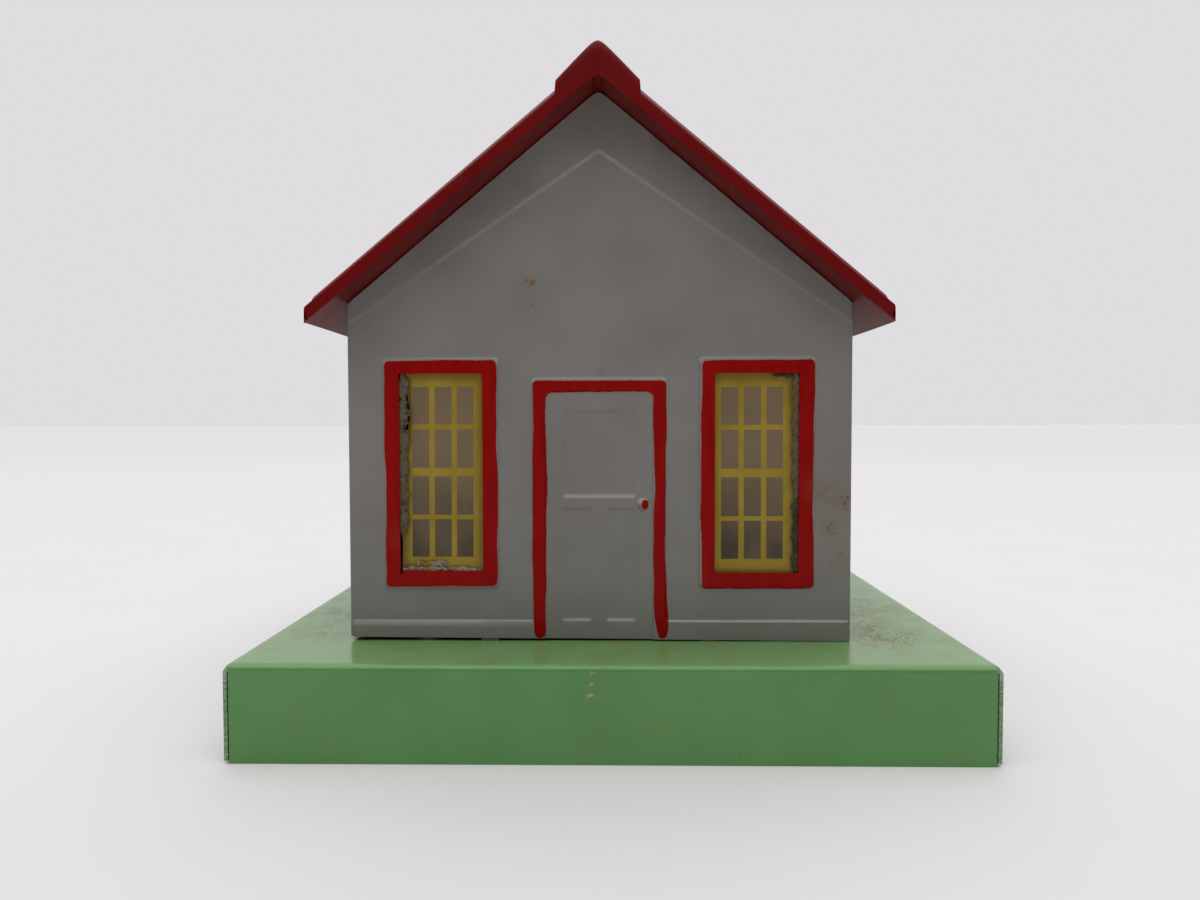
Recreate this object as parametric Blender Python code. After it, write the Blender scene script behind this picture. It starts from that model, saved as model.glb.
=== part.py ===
"""Tin money box in the form of a small gabled house on a square pressed-steel base.

Frame: metres, +Z up, front towards -Y, origin on the table under the middle of the base.
Coins go in through a slot along the ridge and come out through a locked trap door in the base.
"""
import math

import bmesh
import bpy
from mathutils import Matrix, Vector

MM = 0.001

# ---------------------------------------------------------------- driving dimensions
# base pan
BASE_W = 203.2 * MM
BASE_D = 203.2 * MM
BASE_H = 26.3 * MM
BASE_SHEET = 1.0 * MM
BASE_BEND = 1.8 * MM              # outer radius of the bends round the top
CORNER_SLIT = 0.35 * MM           # open slit beside each end of the front and rear flanges
SIDE_FLANGE_LIFT = 0.8 * MM       # the side flanges end this far above the table

# house
HOUSE_W = 145.1 * MM
HOUSE_D = 153.0 * MM
HOUSE_SHIFT = -3.25 * MM          # the house stands a little left of the middle of the base
EAVES_H = 97.07 * MM              # top corner of the gable wall above the base
ROOF_PITCH = math.radians(39.8)
WALL_SHEET = 0.6 * MM
WALL_BEND = 1.4 * MM              # outer radius of the upright corner bends
WALL_RETURN = 9.0 * MM            # how far the gable walls run back along the sides
EMBOSS = 0.5 * MM

# windows and door, heights above the base
WINDOW_W = 24.0 * MM
WINDOW_H = 57.2 * MM
WINDOW_SILL = 20.0 * MM
SURROUND = 4.2 * MM               # width of the raised band round an opening
DOOR_W = 30.5 * MM
DOOR_H = 72.0 * MM
DOOR_BAND = 3.6 * MM
KNOB_X = 12.6 * MM
KNOB_Z = 39.7 * MM
KNOB_R = 1.7 * MM
KNOB_RISE = 1.0 * MM              # out from the wall's face
SKIRTING_H = 5.9 * MM
FILM_SHEET = 0.25 * MM
FILM_MARGIN = 3.2 * MM            # how far a window film laps behind the wall

# tabs that hold the walls
TAB_W = 4.9 * MM
TAB_LEG = 4.0 * MM
GABLE_TAB_X = 31.7 * MM
SIDE_TAB_INSET = 21.6 * MM        # side tabs from the ends of the house
ROOF_TAB_X = 40.0 * MM

# roof
ROOF_SHEET = 0.6 * MM
EAVE_OVERHANG = 8.2 * MM
RAKE_OVERHANG = 11.0 * MM
FASCIA_H = 4.55 * MM              # upright depth of the front and rear lips
FIELD_RISE = 1.3 * MM
FIELD_BORDER = 2.3 * MM
CAP_HALF = 11.7 * MM
CAP_STEP = 1.7 * MM               # upright step at the sides of the ridge cap
CAP_PITCH = math.radians(42.7)
CAP_END_INSET = 0.01 * MM         # keeps the cap's ends just inside the fascias' faces
LINER_LIP = 0.4 * MM              # how far the liner stands out under the eave lips

# coin slot in the ridge
SLOT_W = 5.0 * MM
SLOT_L = 36.0 * MM

# trap door in the base
TRAP_W = 50.0 * MM
TRAP_L = 40.0 * MM
TRAP_LAP = 3.0 * MM               # how far the door laps behind the rim of its hole
DOOR_SHEET = 0.8 * MM
HINGE_DROP = 3.0 * MM             # hinge axis below the door plate
PIN_R = 1.0 * MM
PIN_HEAD_RIM = 0.6 * MM           # how far the pin's heads stand out past its shank
PIN_HEAD_T = 1.0 * MM
EAR_R = 2.4 * MM
EAR_WEB = 7.2 * MM                # how far the door's ears run forward of the pin

# cam lock in the trap door
LOCK_PLUG_R = 3.2 * MM
LOCK_WALL = 1.0 * MM              # wall of the housing round the plug
LOCK_FLANGE_RIM = 2.0 * MM        # how far the flange stands out past the barrel
LOCK_FLANGE_T = 1.2 * MM
LOCK_NUT_WALL = 0.6 * MM          # across the flats, past the hole
LOCK_NUT_T = 1.0 * MM
LOCK_RIM_ROOM = 1.8 * MM          # from the nut's corners to the front rim of the hole
PLUG_HEAD_T = 0.8 * MM
PLUG_HEAD_RIM = 1.0 * MM          # how far the plug's head stands out past the plug
KEYWAY_W = 4.5 * MM
KEYWAY_T = 0.9 * MM
CAM_T = 1.0 * MM
CAM_W = 6.0 * MM
CAM_TIP_R = 1.5 * MM
CAM_REACH = 3.5 * MM              # how far the cam goes over the rim when it is locked
SCREW_R = 0.9 * MM
SCREW_HEAD_R = 2.6 * MM
SCREW_HEAD_T = 1.2 * MM
SCREW_CHAMFER = 0.5 * MM
SCREW_L = 3.6 * MM
DRIVER_SLOT_W = 0.6 * MM
DRIVER_SLOT_DEPTH = 0.6 * MM

# clearances
GAP = 0.3 * MM                    # between pieces that touch
SEAT_GAP = 0.5 * MM               # under the walls
ROOF_GAP = 0.4 * MM               # upright, between wall tops and liner
EMBED = 0.15 * MM                 # how far joined shapes run into each other
OVERCUT = 2.0 * MM

# ---------------------------------------------------------------- worked-out values
SLOPE = math.tan(ROOF_PITCH)
STEEP = 1.0 / math.cos(ROOF_PITCH)        # sheet thickness to upright thickness on the slope
BASE_TOP = BASE_H
PAN_UNDER = BASE_H - BASE_SHEET
WALL_FOOT = BASE_TOP + SEAT_GAP
HALF_W = HOUSE_W / 2
HALF_D = HOUSE_D / 2
APEX = BASE_TOP + EAVES_H + SLOPE * HALF_W
ROOF_HALF = HALF_W + EAVE_OVERHANG
ROOF_Y = HALF_D + RAKE_OVERHANG
LINER_LOW = ROOF_GAP
LINER_HIGH = LINER_LOW + ROOF_SHEET * STEEP
BORDER_TOP = LINER_LOW + FASCIA_H
FIELD_TOP = BORDER_TOP + FIELD_RISE
CAP_SHOULDER = APEX - SLOPE * CAP_HALF + FIELD_TOP + CAP_STEP
CAP_SLOPE = math.tan(CAP_PITCH)
CAP_PEAK = CAP_SHOULDER + CAP_SLOPE * CAP_HALF
ROOF_TAB_LEG = LINER_HIGH + GAP * STEEP
SIDE_OUTER = HALF_W - WALL_SHEET - GAP
SIDE_END = HALF_D - WALL_BEND - GAP
SIDE_FREE = HALF_D - WALL_BEND - WALL_RETURN
GABLE_WINDOW_X = (DOOR_W / 2 + DOOR_BAND + HALF_W) / 2    # between the door band and the corner
SIDE_WINDOW_Y = SIDE_FREE / 2
SIDE_TAB_Y = HALF_D - SIDE_TAB_INSET
DOOR_TOP_Z = PAN_UNDER - GAP
DOOR_LOW_Z = DOOR_TOP_Z - DOOR_SHEET
HINGE_Y = TRAP_L / 2 + TRAP_LAP
HINGE_Z = DOOR_LOW_Z - HINGE_DROP
DOOR_HALF = TRAP_W / 2 + TRAP_LAP
LOCK_BARREL_R = LOCK_PLUG_R + GAP + LOCK_WALL
LOCK_NUT_R = (LOCK_BARREL_R + GAP + LOCK_NUT_WALL) / math.cos(math.radians(30))
LOCK_INSET = LOCK_NUT_R + LOCK_RIM_ROOM
LOCK_Y = LOCK_INSET - TRAP_L / 2
HOUSE = Vector((HOUSE_SHIFT, 0.0, 0.0))
HINGE_AT = Vector((HOUSE_SHIFT, HINGE_Y, HINGE_Z))
LOCK_AT = Vector((HOUSE_SHIFT, LOCK_Y, 0.0))


# ---------------------------------------------------------------- helpers
def clear_scene():
    for ob in list(bpy.data.objects):
        bpy.data.objects.remove(ob, do_unlink=True)


def material(name, colour, roughness, metallic=0.0, alpha=1.0):
    mat = bpy.data.materials.new(name)
    mat.use_nodes = True
    shader = mat.node_tree.nodes["Principled BSDF"]
    shader.inputs["Base Color"].default_value = (*colour, 1.0)
    shader.inputs["Roughness"].default_value = roughness
    shader.inputs["Metallic"].default_value = metallic
    shader.inputs["Alpha"].default_value = alpha
    mat.diffuse_color = (*colour, 1.0)
    return mat


def new_object(name, bm, mat=None):
    bmesh.ops.recalc_face_normals(bm, faces=bm.faces)
    mesh = bpy.data.meshes.new(name)
    bm.to_mesh(mesh)
    bm.free()
    ob = bpy.data.objects.new(name, mesh)
    if mat is not None:
        mesh.materials.append(mat)
    bpy.context.scene.collection.objects.link(ob)
    return ob


def add_prism(bm, outline, axis, low, high):
    """Add the prism over a plane outline, from low to high along the named axis."""
    def point(a, b, c):
        return {"X": (c, a, b), "Y": (a, c, b), "Z": (a, b, c)}[axis]
    bottom = [bm.verts.new(point(a, b, low)) for a, b in outline]
    top = [bm.verts.new(point(a, b, high)) for a, b in outline]
    bm.faces.new(bottom)
    bm.faces.new(top)
    count = len(outline)
    for i in range(count):
        j = (i + 1) % count
        bm.faces.new((bottom[i], bottom[j], top[j], top[i]))


def add_box(bm, low, high):
    (x0, y0, z0), (x1, y1, z1) = low, high
    add_prism(bm, [(x0, y0), (x1, y0), (x1, y1), (x0, y1)], "Z", z0, z1)


def boxes(name, spans, mat=None):
    """One object of several boxes that don't touch, each a (low, high) pair of corners."""
    bm = bmesh.new()
    for low, high in spans:
        add_box(bm, low, high)
    return new_object(name, bm, mat)


def prism(name, outline, axis, low, high, mat=None):
    bm = bmesh.new()
    add_prism(bm, outline, axis, low, high)
    return new_object(name, bm, mat)


def turned(name, profile, mat=None, steps=28):
    """Solid of revolution about Z from (radius, height) points that start and end on the axis."""
    bm = bmesh.new()
    rim = [bm.verts.new((r, 0.0, z)) for r, z in profile]
    edges = [bm.edges.new(pair) for pair in zip(rim, rim[1:])]
    bmesh.ops.spin(bm, geom=rim + edges, cent=(0, 0, 0), axis=(0, 0, 1),
                   angle=2 * math.pi, steps=steps, use_merge=True)
    bmesh.ops.remove_doubles(bm, verts=bm.verts, dist=0.00001)
    return new_object(name, bm, mat)


def ring(name, inner, outer, low, high, mat=None, steps=28, outer_steps=None):
    """Upright tube; with few outer steps its outside is a hexagon nut."""
    bm = bmesh.new()
    loops = []
    for radius, count in ((inner, steps), (outer, outer_steps or steps)):
        turn = [2 * math.pi * i / count for i in range(count)]
        verts = [bm.verts.new((radius * math.cos(a), radius * math.sin(a), low)) for a in turn]
        loops += [bm.edges.new((verts[i], verts[(i + 1) % count])) for i in range(count)]
    face = bmesh.ops.triangle_fill(bm, edges=loops, use_beauty=True)["geom"]
    face = [item for item in face if isinstance(item, bmesh.types.BMFace)]
    top = bmesh.ops.extrude_face_region(bm, geom=face)["geom"]
    verts = [item for item in top if isinstance(item, bmesh.types.BMVert)]
    bmesh.ops.translate(bm, vec=(0, 0, high - low), verts=verts)
    return new_object(name, bm, mat)


def combine(target, tool, operation):
    """Join, cut or keep the common part with a Boolean; the tool stays as a wire guide."""
    tool.hide_render = True
    tool.display_type = "WIRE"
    mod = target.modifiers.new(operation.title(), "BOOLEAN")
    mod.operation = operation
    mod.solver = "EXACT"
    mod.object = tool


def shift(ob, offset):
    ob.data.transform(Matrix.Translation(offset))


def set_origin(ob, point):
    """Put the object's origin on a point and leave its mesh where it is."""
    ob.data.transform(Matrix.Translation(-Vector(point)))
    ob.location = point


def smooth(ob, degrees=30):
    ob.data.shade_smooth()
    ob.data.set_sharp_from_angle(angle=math.radians(degrees))


def roof_plane(x):
    """Height of the slope through the wall tops, at a distance x from the ridge."""
    return APEX - SLOPE * abs(x)


def gable_band(half, low, high):
    """Outline, in X and Z, between two copies of the roof slope, raised by low and by high."""
    return [(-half, roof_plane(half) + low), (0, APEX + low), (half, roof_plane(half) + low),
            (half, roof_plane(half) + high), (0, APEX + high), (-half, roof_plane(half) + high)]


def arc(cx, cy, radius, start, end, steps=6):
    turn = [math.radians(start + (end - start) * i / steps) for i in range(steps + 1)]
    return [(cx + radius * math.cos(a), cy + radius * math.sin(a)) for a in turn]


# ---------------------------------------------------------------- base
def wall_tab_slots():
    """Slots in the base for the tabs of the four walls, each tab's size plus the gap."""
    half_t = WALL_SHEET / 2 + GAP
    half_w = TAB_W / 2 + GAP
    z0, z1 = PAN_UNDER - OVERCUT, BASE_TOP + OVERCUT
    spans = []
    for side in (-1, 1):
        y = side * (HALF_D - WALL_SHEET / 2)
        for x in (-GABLE_TAB_X, GABLE_TAB_X):
            spans.append(((x - half_w, y - half_t, z0), (x + half_w, y + half_t, z1)))
        x = side * (SIDE_OUTER - WALL_SHEET / 2)
        for y in (-SIDE_TAB_Y, SIDE_TAB_Y):
            spans.append(((x - half_t, y - half_w, z0), (x + half_t, y + half_w, z1)))
    return spans


def base_pan(mat):
    half_w, half_d = BASE_W / 2, BASE_D / 2
    bm = bmesh.new()
    add_box(bm, (-half_w, -half_d, 0), (half_w, half_d, BASE_H))
    rim = [e for e in bm.edges if all(v.co.z > BASE_H / 2 for v in e.verts)]
    bmesh.ops.bevel(bm, geom=rim, offset=BASE_BEND, segments=5, profile=0.5, affect="EDGES")
    pan = new_object("base_pan", bm, mat)

    inside = boxes("guide_pan_inside", [((BASE_SHEET - half_w, BASE_SHEET - half_d, -OVERCUT),
                                         (half_w - BASE_SHEET, half_d - BASE_SHEET, PAN_UNDER))])
    combine(pan, inside, "DIFFERENCE")

    cuts = []
    slit_out = half_w - BASE_SHEET
    for sx in (-1, 1):
        for sy in (-1, 1):
            x = sorted((sx * slit_out, sx * (slit_out - CORNER_SLIT)))
            y = sorted((sy * (half_d + OVERCUT), sy * (half_d - BASE_SHEET - EMBED)))
            cuts.append(((x[0], y[0], -OVERCUT), (x[1], y[1], BASE_H - BASE_BEND)))
    slits = boxes("guide_corner_slits", cuts)
    combine(pan, slits, "DIFFERENCE")

    lifts = []
    for sx in (-1, 1):
        x = sorted((sx * (slit_out - CORNER_SLIT / 2), sx * (half_w + OVERCUT)))
        lifts.append(((x[0], -half_d - OVERCUT, -OVERCUT), (x[1], half_d + OVERCUT, SIDE_FLANGE_LIFT)))
    combine(pan, boxes("guide_side_flange_ends", lifts), "DIFFERENCE")

    holes = wall_tab_slots()
    holes.append(((-TRAP_W / 2, -TRAP_L / 2, PAN_UNDER - OVERCUT),
                  (TRAP_W / 2, TRAP_L / 2, BASE_TOP + OVERCUT)))
    punched = boxes("guide_pan_holes", holes)
    shift(punched, HOUSE)
    combine(pan, punched, "DIFFERENCE")

    ears = bmesh.new()
    for side in (-1, 1):
        inner = side * (DOOR_HALF + GAP)
        x = sorted((inner, inner + side * BASE_SHEET))
        add_prism(ears, pan_ear_outline(), "X", *x)
    ears = new_object("guide_hinge_ears", ears)
    shift(ears, HOUSE)
    combine(ears, pin_hole_tool("guide_ear_holes"), "DIFFERENCE")
    combine(pan, ears, "UNION")
    return pan


def pan_ear_outline():
    """Bent-down ear beside the hinge, in Y and Z: straight sides and a round end on the pin."""
    wide = EAR_R + GAP
    round_end = arc(HINGE_Y, HINGE_Z, wide, 0, -180, 8)
    return round_end + [(HINGE_Y - wide, PAN_UNDER + EMBED), (HINGE_Y + wide, PAN_UNDER + EMBED)]


def pin_hole_tool(name):
    """Cylinder along the hinge axis, a gap wider than the pin."""
    outline = arc(HINGE_Y, HINGE_Z, PIN_R + GAP, 0, 360, 16)[:-1]
    reach = DOOR_HALF + BASE_SHEET + OVERCUT
    tool = prism(name, outline, "X", -reach, reach)
    shift(tool, HOUSE)
    return tool


# ---------------------------------------------------------------- walls
def window_hole(x, depth_low, depth_high):
    """Window opening in a wall that lies across Y, as a (low, high) pair."""
    z0 = BASE_TOP + WINDOW_SILL
    return ((x - WINDOW_W / 2, depth_low, z0), (x + WINDOW_W / 2, depth_high, z0 + WINDOW_H))


def window_pad(x, depth_low, depth_high):
    (x0, _, z0), (x1, _, z1) = window_hole(x, 0, 0)
    return ((x0 - SURROUND, depth_low, z0 - SURROUND), (x1 + SURROUND, depth_high, z1 + SURROUND))


def add_tabs(wall, name, places, face):
    """Join base tabs to a wall whose outer face is at y = face: a leg down, a foot inwards."""
    foot_top = PAN_UNDER - GAP
    foot_low = foot_top - WALL_SHEET
    joined = WALL_FOOT + EMBED
    inner = face + WALL_SHEET
    outline = [(face, joined), (face, foot_low), (face + TAB_LEG, foot_low),
               (face + TAB_LEG, foot_top), (inner, foot_top), (inner, joined)]
    bm = bmesh.new()
    for x in places:
        add_prism(bm, outline, "X", x - TAB_W / 2, x + TAB_W / 2)
    combine(wall, new_object(name, bm), "UNION")


def gable_wall(name, mat, with_door):
    """Gable wall on the front side, bent round at both upright corners."""
    face = -HALF_D
    turn, thin = WALL_BEND, WALL_BEND - WALL_SHEET
    back = face + WALL_BEND + WALL_RETURN
    cx, cy = HALF_W - turn, face + turn
    right_out = arc(cx, cy, turn, -90, 0)
    right_in = arc(cx, cy, thin, 0, -90)
    left_out = [(-x, y) for x, y in reversed(right_out)]
    left_in = [(-x, y) for x, y in reversed(right_in)]
    plan = left_out + right_out
    plan += [(HALF_W, back), (HALF_W - WALL_SHEET, back)] + right_in
    plan += left_in + [(WALL_SHEET - HALF_W, back), (-HALF_W, back)]
    wall = prism(name, plan, "Z", WALL_FOOT, APEX + OVERCUT, mat)

    wide = HALF_W + OVERCUT
    gable = [(-wide, WALL_FOOT - OVERCUT), (wide, WALL_FOOT - OVERCUT),
             (wide, roof_plane(wide)), (0, APEX), (-wide, roof_plane(wide))]
    keep = prism("guide_gable_" + name, gable, "Y", face - OVERCUT, back + OVERCUT)
    combine(wall, keep, "INTERSECT")

    raised, sunk = face - EMBOSS, face + EMBED
    pads = [window_pad(x, raised, sunk) for x in (-GABLE_WINDOW_X, GABLE_WINDOW_X)]
    skirting_end = HALF_W - WALL_BEND
    if with_door:
        edge = DOOR_W / 2 + DOOR_BAND
        top = BASE_TOP + DOOR_H
        for sx in (-1, 1):
            x = sorted((sx * (edge + EMBED), sx * skirting_end))
            pads.append(((x[0], raised, WALL_FOOT), (x[1], sunk, BASE_TOP + SKIRTING_H)))
            x = sorted((sx * DOOR_W / 2, sx * edge))
            pads.append(((x[0], raised, WALL_FOOT), (x[1], sunk, top - EMBED)))
        pads.append(((-edge, raised, top), (edge, sunk, top + DOOR_BAND)))
    else:
        pads.append(((-skirting_end, raised, WALL_FOOT),
                     (skirting_end, sunk, BASE_TOP + SKIRTING_H)))
    pads = boxes("guide_emboss_" + name, pads)
    combine(wall, pads, "UNION")
    if with_door:
        knob = [(KNOB_X + a, BASE_TOP + KNOB_Z + b) for a, b in arc(0, 0, KNOB_R, 0, 360, 16)[:-1]]
        combine(wall, prism("guide_knob", knob, "Y", face - KNOB_RISE, sunk), "UNION")

    holes = [window_hole(x, face - OVERCUT, face + OVERCUT)
             for x in (-GABLE_WINDOW_X, GABLE_WINDOW_X)]
    combine(wall, boxes("guide_windows_" + name, holes), "DIFFERENCE")
    add_tabs(wall, "guide_tabs_" + name, (-GABLE_TAB_X, GABLE_TAB_X), face)
    combine(wall, roof_tabs("guide_roof_tabs_" + name, face), "UNION")
    return wall


def roof_tab_band(side, low, high, extra=0.0):
    """Outline of a strip of the slope at the roof tab, between two upright offsets."""
    x0, x1 = ROOF_TAB_X - TAB_W / 2 - extra, ROOF_TAB_X + TAB_W / 2 + extra
    return [(side * x0, roof_plane(x0) + low), (side * x1, roof_plane(x1) + low),
            (side * x1, roof_plane(x1) + high), (side * x0, roof_plane(x0) + high)]


def roof_tabs(name, face):
    """Tabs on the slopes of a gable wall, up through the liner and bent back over it."""
    leg_top = ROOF_TAB_LEG + WALL_SHEET * STEEP
    bm = bmesh.new()
    for side in (-1, 1):
        add_prism(bm, roof_tab_band(side, -EMBED, leg_top), "Y", face, face + WALL_SHEET)
    up = new_object(name, bm)
    bm = bmesh.new()
    for side in (-1, 1):
        low, high = ROOF_TAB_LEG, leg_top
        add_prism(bm, roof_tab_band(side, low, high), "Y", face + EMBED, face + TAB_LEG)
    combine(up, new_object(name + "_legs", bm), "UNION")
    return up


def side_wall(name, mat):
    """Side wall, made across Y like the gable walls and turned into place afterwards."""
    face = -SIDE_OUTER
    top = roof_plane(SIDE_OUTER)
    wall = boxes(name, [((-SIDE_END, face, WALL_FOOT), (SIDE_END, face + WALL_SHEET, top))], mat)
    places = (-SIDE_WINDOW_Y, SIDE_WINDOW_Y)
    raised, sunk = face - EMBOSS, face + EMBED
    skirting_end = SIDE_FREE - GAP
    pads = [window_pad(x, raised, sunk) for x in places]
    pads.append(((-skirting_end, raised, WALL_FOOT), (skirting_end, sunk, BASE_TOP + SKIRTING_H)))
    combine(wall, boxes("guide_emboss_" + name, pads), "UNION")
    holes = [window_hole(x, face - OVERCUT, face + OVERCUT) for x in places]
    combine(wall, boxes("guide_windows_" + name, holes), "DIFFERENCE")
    add_tabs(wall, "guide_tabs_" + name, (-SIDE_TAB_Y, SIDE_TAB_Y), face)
    return wall


def film(name, mat, x, face):
    """Window film behind an opening of a wall across Y whose outer face is at y = face."""
    z0 = BASE_TOP + WINDOW_SILL - FILM_MARGIN
    front = face + WALL_SHEET + GAP
    low = (x - WINDOW_W / 2 - FILM_MARGIN, front, z0)
    high = (x + WINDOW_W / 2 + FILM_MARGIN, front + FILM_SHEET, z0 + WINDOW_H + 2 * FILM_MARGIN)
    return boxes(name, [(low, high)], mat)


def turn_into_place(objects, quarters):
    """Turn shapes made on the front side by quarter turns about the middle of the house.

    The matrix is made of whole numbers, so faces that line up still line up after the turn.
    """
    cosine, sine = ((1, 0), (0, 1), (-1, 0), (0, -1))[quarters % 4]
    spin = Matrix(((cosine, -sine, 0, 0), (sine, cosine, 0, 0), (0, 0, 1, 0), (0, 0, 0, 1)))
    for ob in objects:
        ob.data.transform(Matrix.Translation(HOUSE) @ spin)


def all_guides(ob):
    """The wire guides that shape an object, and the guides of those guides."""
    found = []
    for mod in ob.modifiers:
        if mod.type == "BOOLEAN":
            found.append(mod.object)
            found += all_guides(mod.object)
    return found


def walls(grey, yellow):
    front = gable_wall("front_wall", grey, True)
    rear = gable_wall("rear_wall", grey, False)
    left = side_wall("left_wall", grey)
    right = side_wall("right_wall", grey)
    for wall, quarters in ((front, 0), (rear, 2), (left, -1), (right, 1)):
        turn_into_place([wall] + all_guides(wall), quarters)

    sets = (("front", 0, -HALF_D, GABLE_WINDOW_X), ("rear", 2, -HALF_D, GABLE_WINDOW_X),
            ("left", -1, -SIDE_OUTER, SIDE_WINDOW_Y), ("right", 1, -SIDE_OUTER, SIDE_WINDOW_Y))
    for side, quarters, face, place in sets:
        for label, x in (("a", -place), ("b", place)):
            pane = film("film_%s_%s" % (side, label), yellow, x, face)
            turn_into_place([pane], quarters)


# ---------------------------------------------------------------- roof
def cap_outline(shrink, low):
    """Ridge cap in X and Z: upright sides, two slopes and a peak, drawn in by the sheet."""
    half = CAP_HALF - shrink
    drop = shrink / math.cos(CAP_PITCH)
    peak = CAP_PEAK - drop
    shoulder = peak - CAP_SLOPE * half
    bottom = roof_plane(half) + low
    return [(-half, bottom), (0, APEX + low), (half, bottom), (half, shoulder), (0, peak),
            (-half, shoulder)]


def roof_skin(mat):
    sheet = ROOF_SHEET
    upright = ROOF_SHEET * STEEP
    skin = prism("roof_skin", gable_band(ROOF_HALF, LINER_LOW, BORDER_TOP), "Y",
                 -ROOF_Y, ROOF_Y, mat)
    field_y = ROOF_Y - FIELD_BORDER
    field_half = ROOF_HALF - FIELD_BORDER
    field = prism("guide_field", gable_band(field_half, BORDER_TOP - upright, FIELD_TOP), "Y",
                  -field_y, field_y)
    combine(skin, field, "UNION")
    cap_y = ROOF_Y - CAP_END_INSET
    cap = prism("guide_cap", cap_outline(0, BORDER_TOP - upright), "Y", -cap_y, cap_y)
    combine(skin, cap, "UNION")

    hollow_y = ROOF_Y - sheet
    hollow = prism("guide_hollow", gable_band(ROOF_HALF - sheet, -OVERCUT, BORDER_TOP - upright),
                   "Y", -hollow_y, hollow_y)
    combine(skin, hollow, "DIFFERENCE")
    hollow = gable_band(field_half - sheet, LINER_HIGH, FIELD_TOP - upright)
    combine(skin, prism("guide_field_hollow", hollow, "Y", sheet - field_y, field_y - sheet),
            "DIFFERENCE")
    hollow = cap_outline(sheet, LINER_HIGH)
    combine(skin, prism("guide_cap_hollow", hollow, "Y", -hollow_y, hollow_y), "DIFFERENCE")

    lip_cut = bmesh.new()
    low, high = -OVERCUT, LINER_HIGH + GAP * STEEP
    inner, outer = ROOF_HALF - sheet - GAP, ROOF_HALF + OVERCUT
    for side in (-1, 1):
        outline = [(side * inner, roof_plane(inner) + low), (side * outer, roof_plane(outer) + low),
                   (side * outer, roof_plane(outer) + high), (side * inner, roof_plane(inner) + high)]
        add_prism(lip_cut, outline, "Y", -hollow_y, hollow_y)
    combine(skin, new_object("guide_eave_lips", lip_cut), "DIFFERENCE")

    lip_low = APEX + LINER_HIGH + 2 * GAP
    lip_x = SLOT_W / 2 + sheet
    lip_top = CAP_PEAK - CAP_SLOPE * lip_x - EMBED
    half_l = SLOT_L / 2 + sheet
    collar = boxes("guide_slot_collar", [((-lip_x, -half_l, lip_low), (lip_x, half_l, lip_top))])
    combine(skin, collar, "UNION")
    coin = [((-SLOT_W / 2, -SLOT_L / 2, APEX - OVERCUT), (SLOT_W / 2, SLOT_L / 2, CAP_PEAK + OVERCUT))]
    combine(skin, boxes("guide_coin_slot", coin), "DIFFERENCE")
    turn_into_place([skin] + all_guides(skin), 0)
    return skin


def roof_liner(mat):
    half_y = ROOF_Y - ROOF_SHEET - GAP
    outline = gable_band(ROOF_HALF + LINER_LIP, LINER_LOW, LINER_HIGH)
    liner = prism("roof_liner", outline, "Y", -half_y, half_y, mat)
    cuts = bmesh.new()
    low, high = LINER_LOW - OVERCUT, LINER_HIGH + OVERCUT
    mid = HALF_D - WALL_SHEET / 2
    half_t = WALL_SHEET / 2 + GAP
    for side in (-1, 1):
        for y in (-mid, mid):
            outline = roof_tab_band(side, low, high, GAP)
            add_prism(cuts, outline, "Y", y - half_t, y + half_t)
    half_x = SLOT_W / 2 + ROOF_SHEET
    half_l = SLOT_L / 2 + ROOF_SHEET
    add_box(cuts, (-half_x, -half_l, APEX - OVERCUT), (half_x, half_l, APEX + high))
    combine(liner, new_object("guide_liner_slots", cuts), "DIFFERENCE")
    turn_into_place([liner] + all_guides(liner), 0)
    return liner


# ---------------------------------------------------------------- trap door and lock
def trap_door(mat):
    front = -TRAP_L / 2 - TRAP_LAP
    door = boxes("trap_door", [((-DOOR_HALF, front, DOOR_LOW_Z), (DOOR_HALF, HINGE_Y, DOOR_TOP_Z))],
                 mat)
    web = HINGE_Y - EAR_WEB
    ear = arc(HINGE_Y, HINGE_Z, EAR_R, 90, -90, 10)
    ear += [(web, HINGE_Z - EAR_R), (web, DOOR_LOW_Z + EMBED), (HINGE_Y, DOOR_LOW_Z + EMBED)]
    bm = bmesh.new()
    for side in (-1, 1):
        x = sorted((side * DOOR_HALF, side * (DOOR_HALF - DOOR_SHEET)))
        add_prism(bm, ear, "X", *x)
    ears = new_object("guide_door_ears", bm)
    combine(door, ears, "UNION")
    hole = arc(0, LOCK_Y, LOCK_BARREL_R + GAP, 0, 360, 28)[:-1]
    combine(door, prism("guide_lock_hole", hole, "Z", DOOR_LOW_Z - OVERCUT, DOOR_TOP_Z + OVERCUT),
            "DIFFERENCE")
    turn_into_place([door] + all_guides(door), 0)
    combine(door, pin_hole_tool("guide_door_pin_hole"), "DIFFERENCE")
    set_origin(door, HINGE_AT)
    return door


def hinge_pin(mat):
    """Plain pin with a head at each end, outside the ears of the base pan."""
    inner = DOOR_HALF + GAP + BASE_SHEET + GAP
    outer = inner + PIN_HEAD_T
    head = PIN_R + PIN_HEAD_RIM
    profile = [(0, -outer), (head, -outer), (head, -inner), (PIN_R, -inner),
               (PIN_R, inner), (head, inner), (head, outer), (0, outer)]
    pin = turned("hinge_pin", profile, mat, steps=16)
    lay = Matrix.Translation(HINGE_AT) @ Matrix.Rotation(math.radians(90), 4, "Y")
    pin.data.transform(lay)
    set_origin(pin, HINGE_AT)
    smooth(pin)
    return pin


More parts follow.
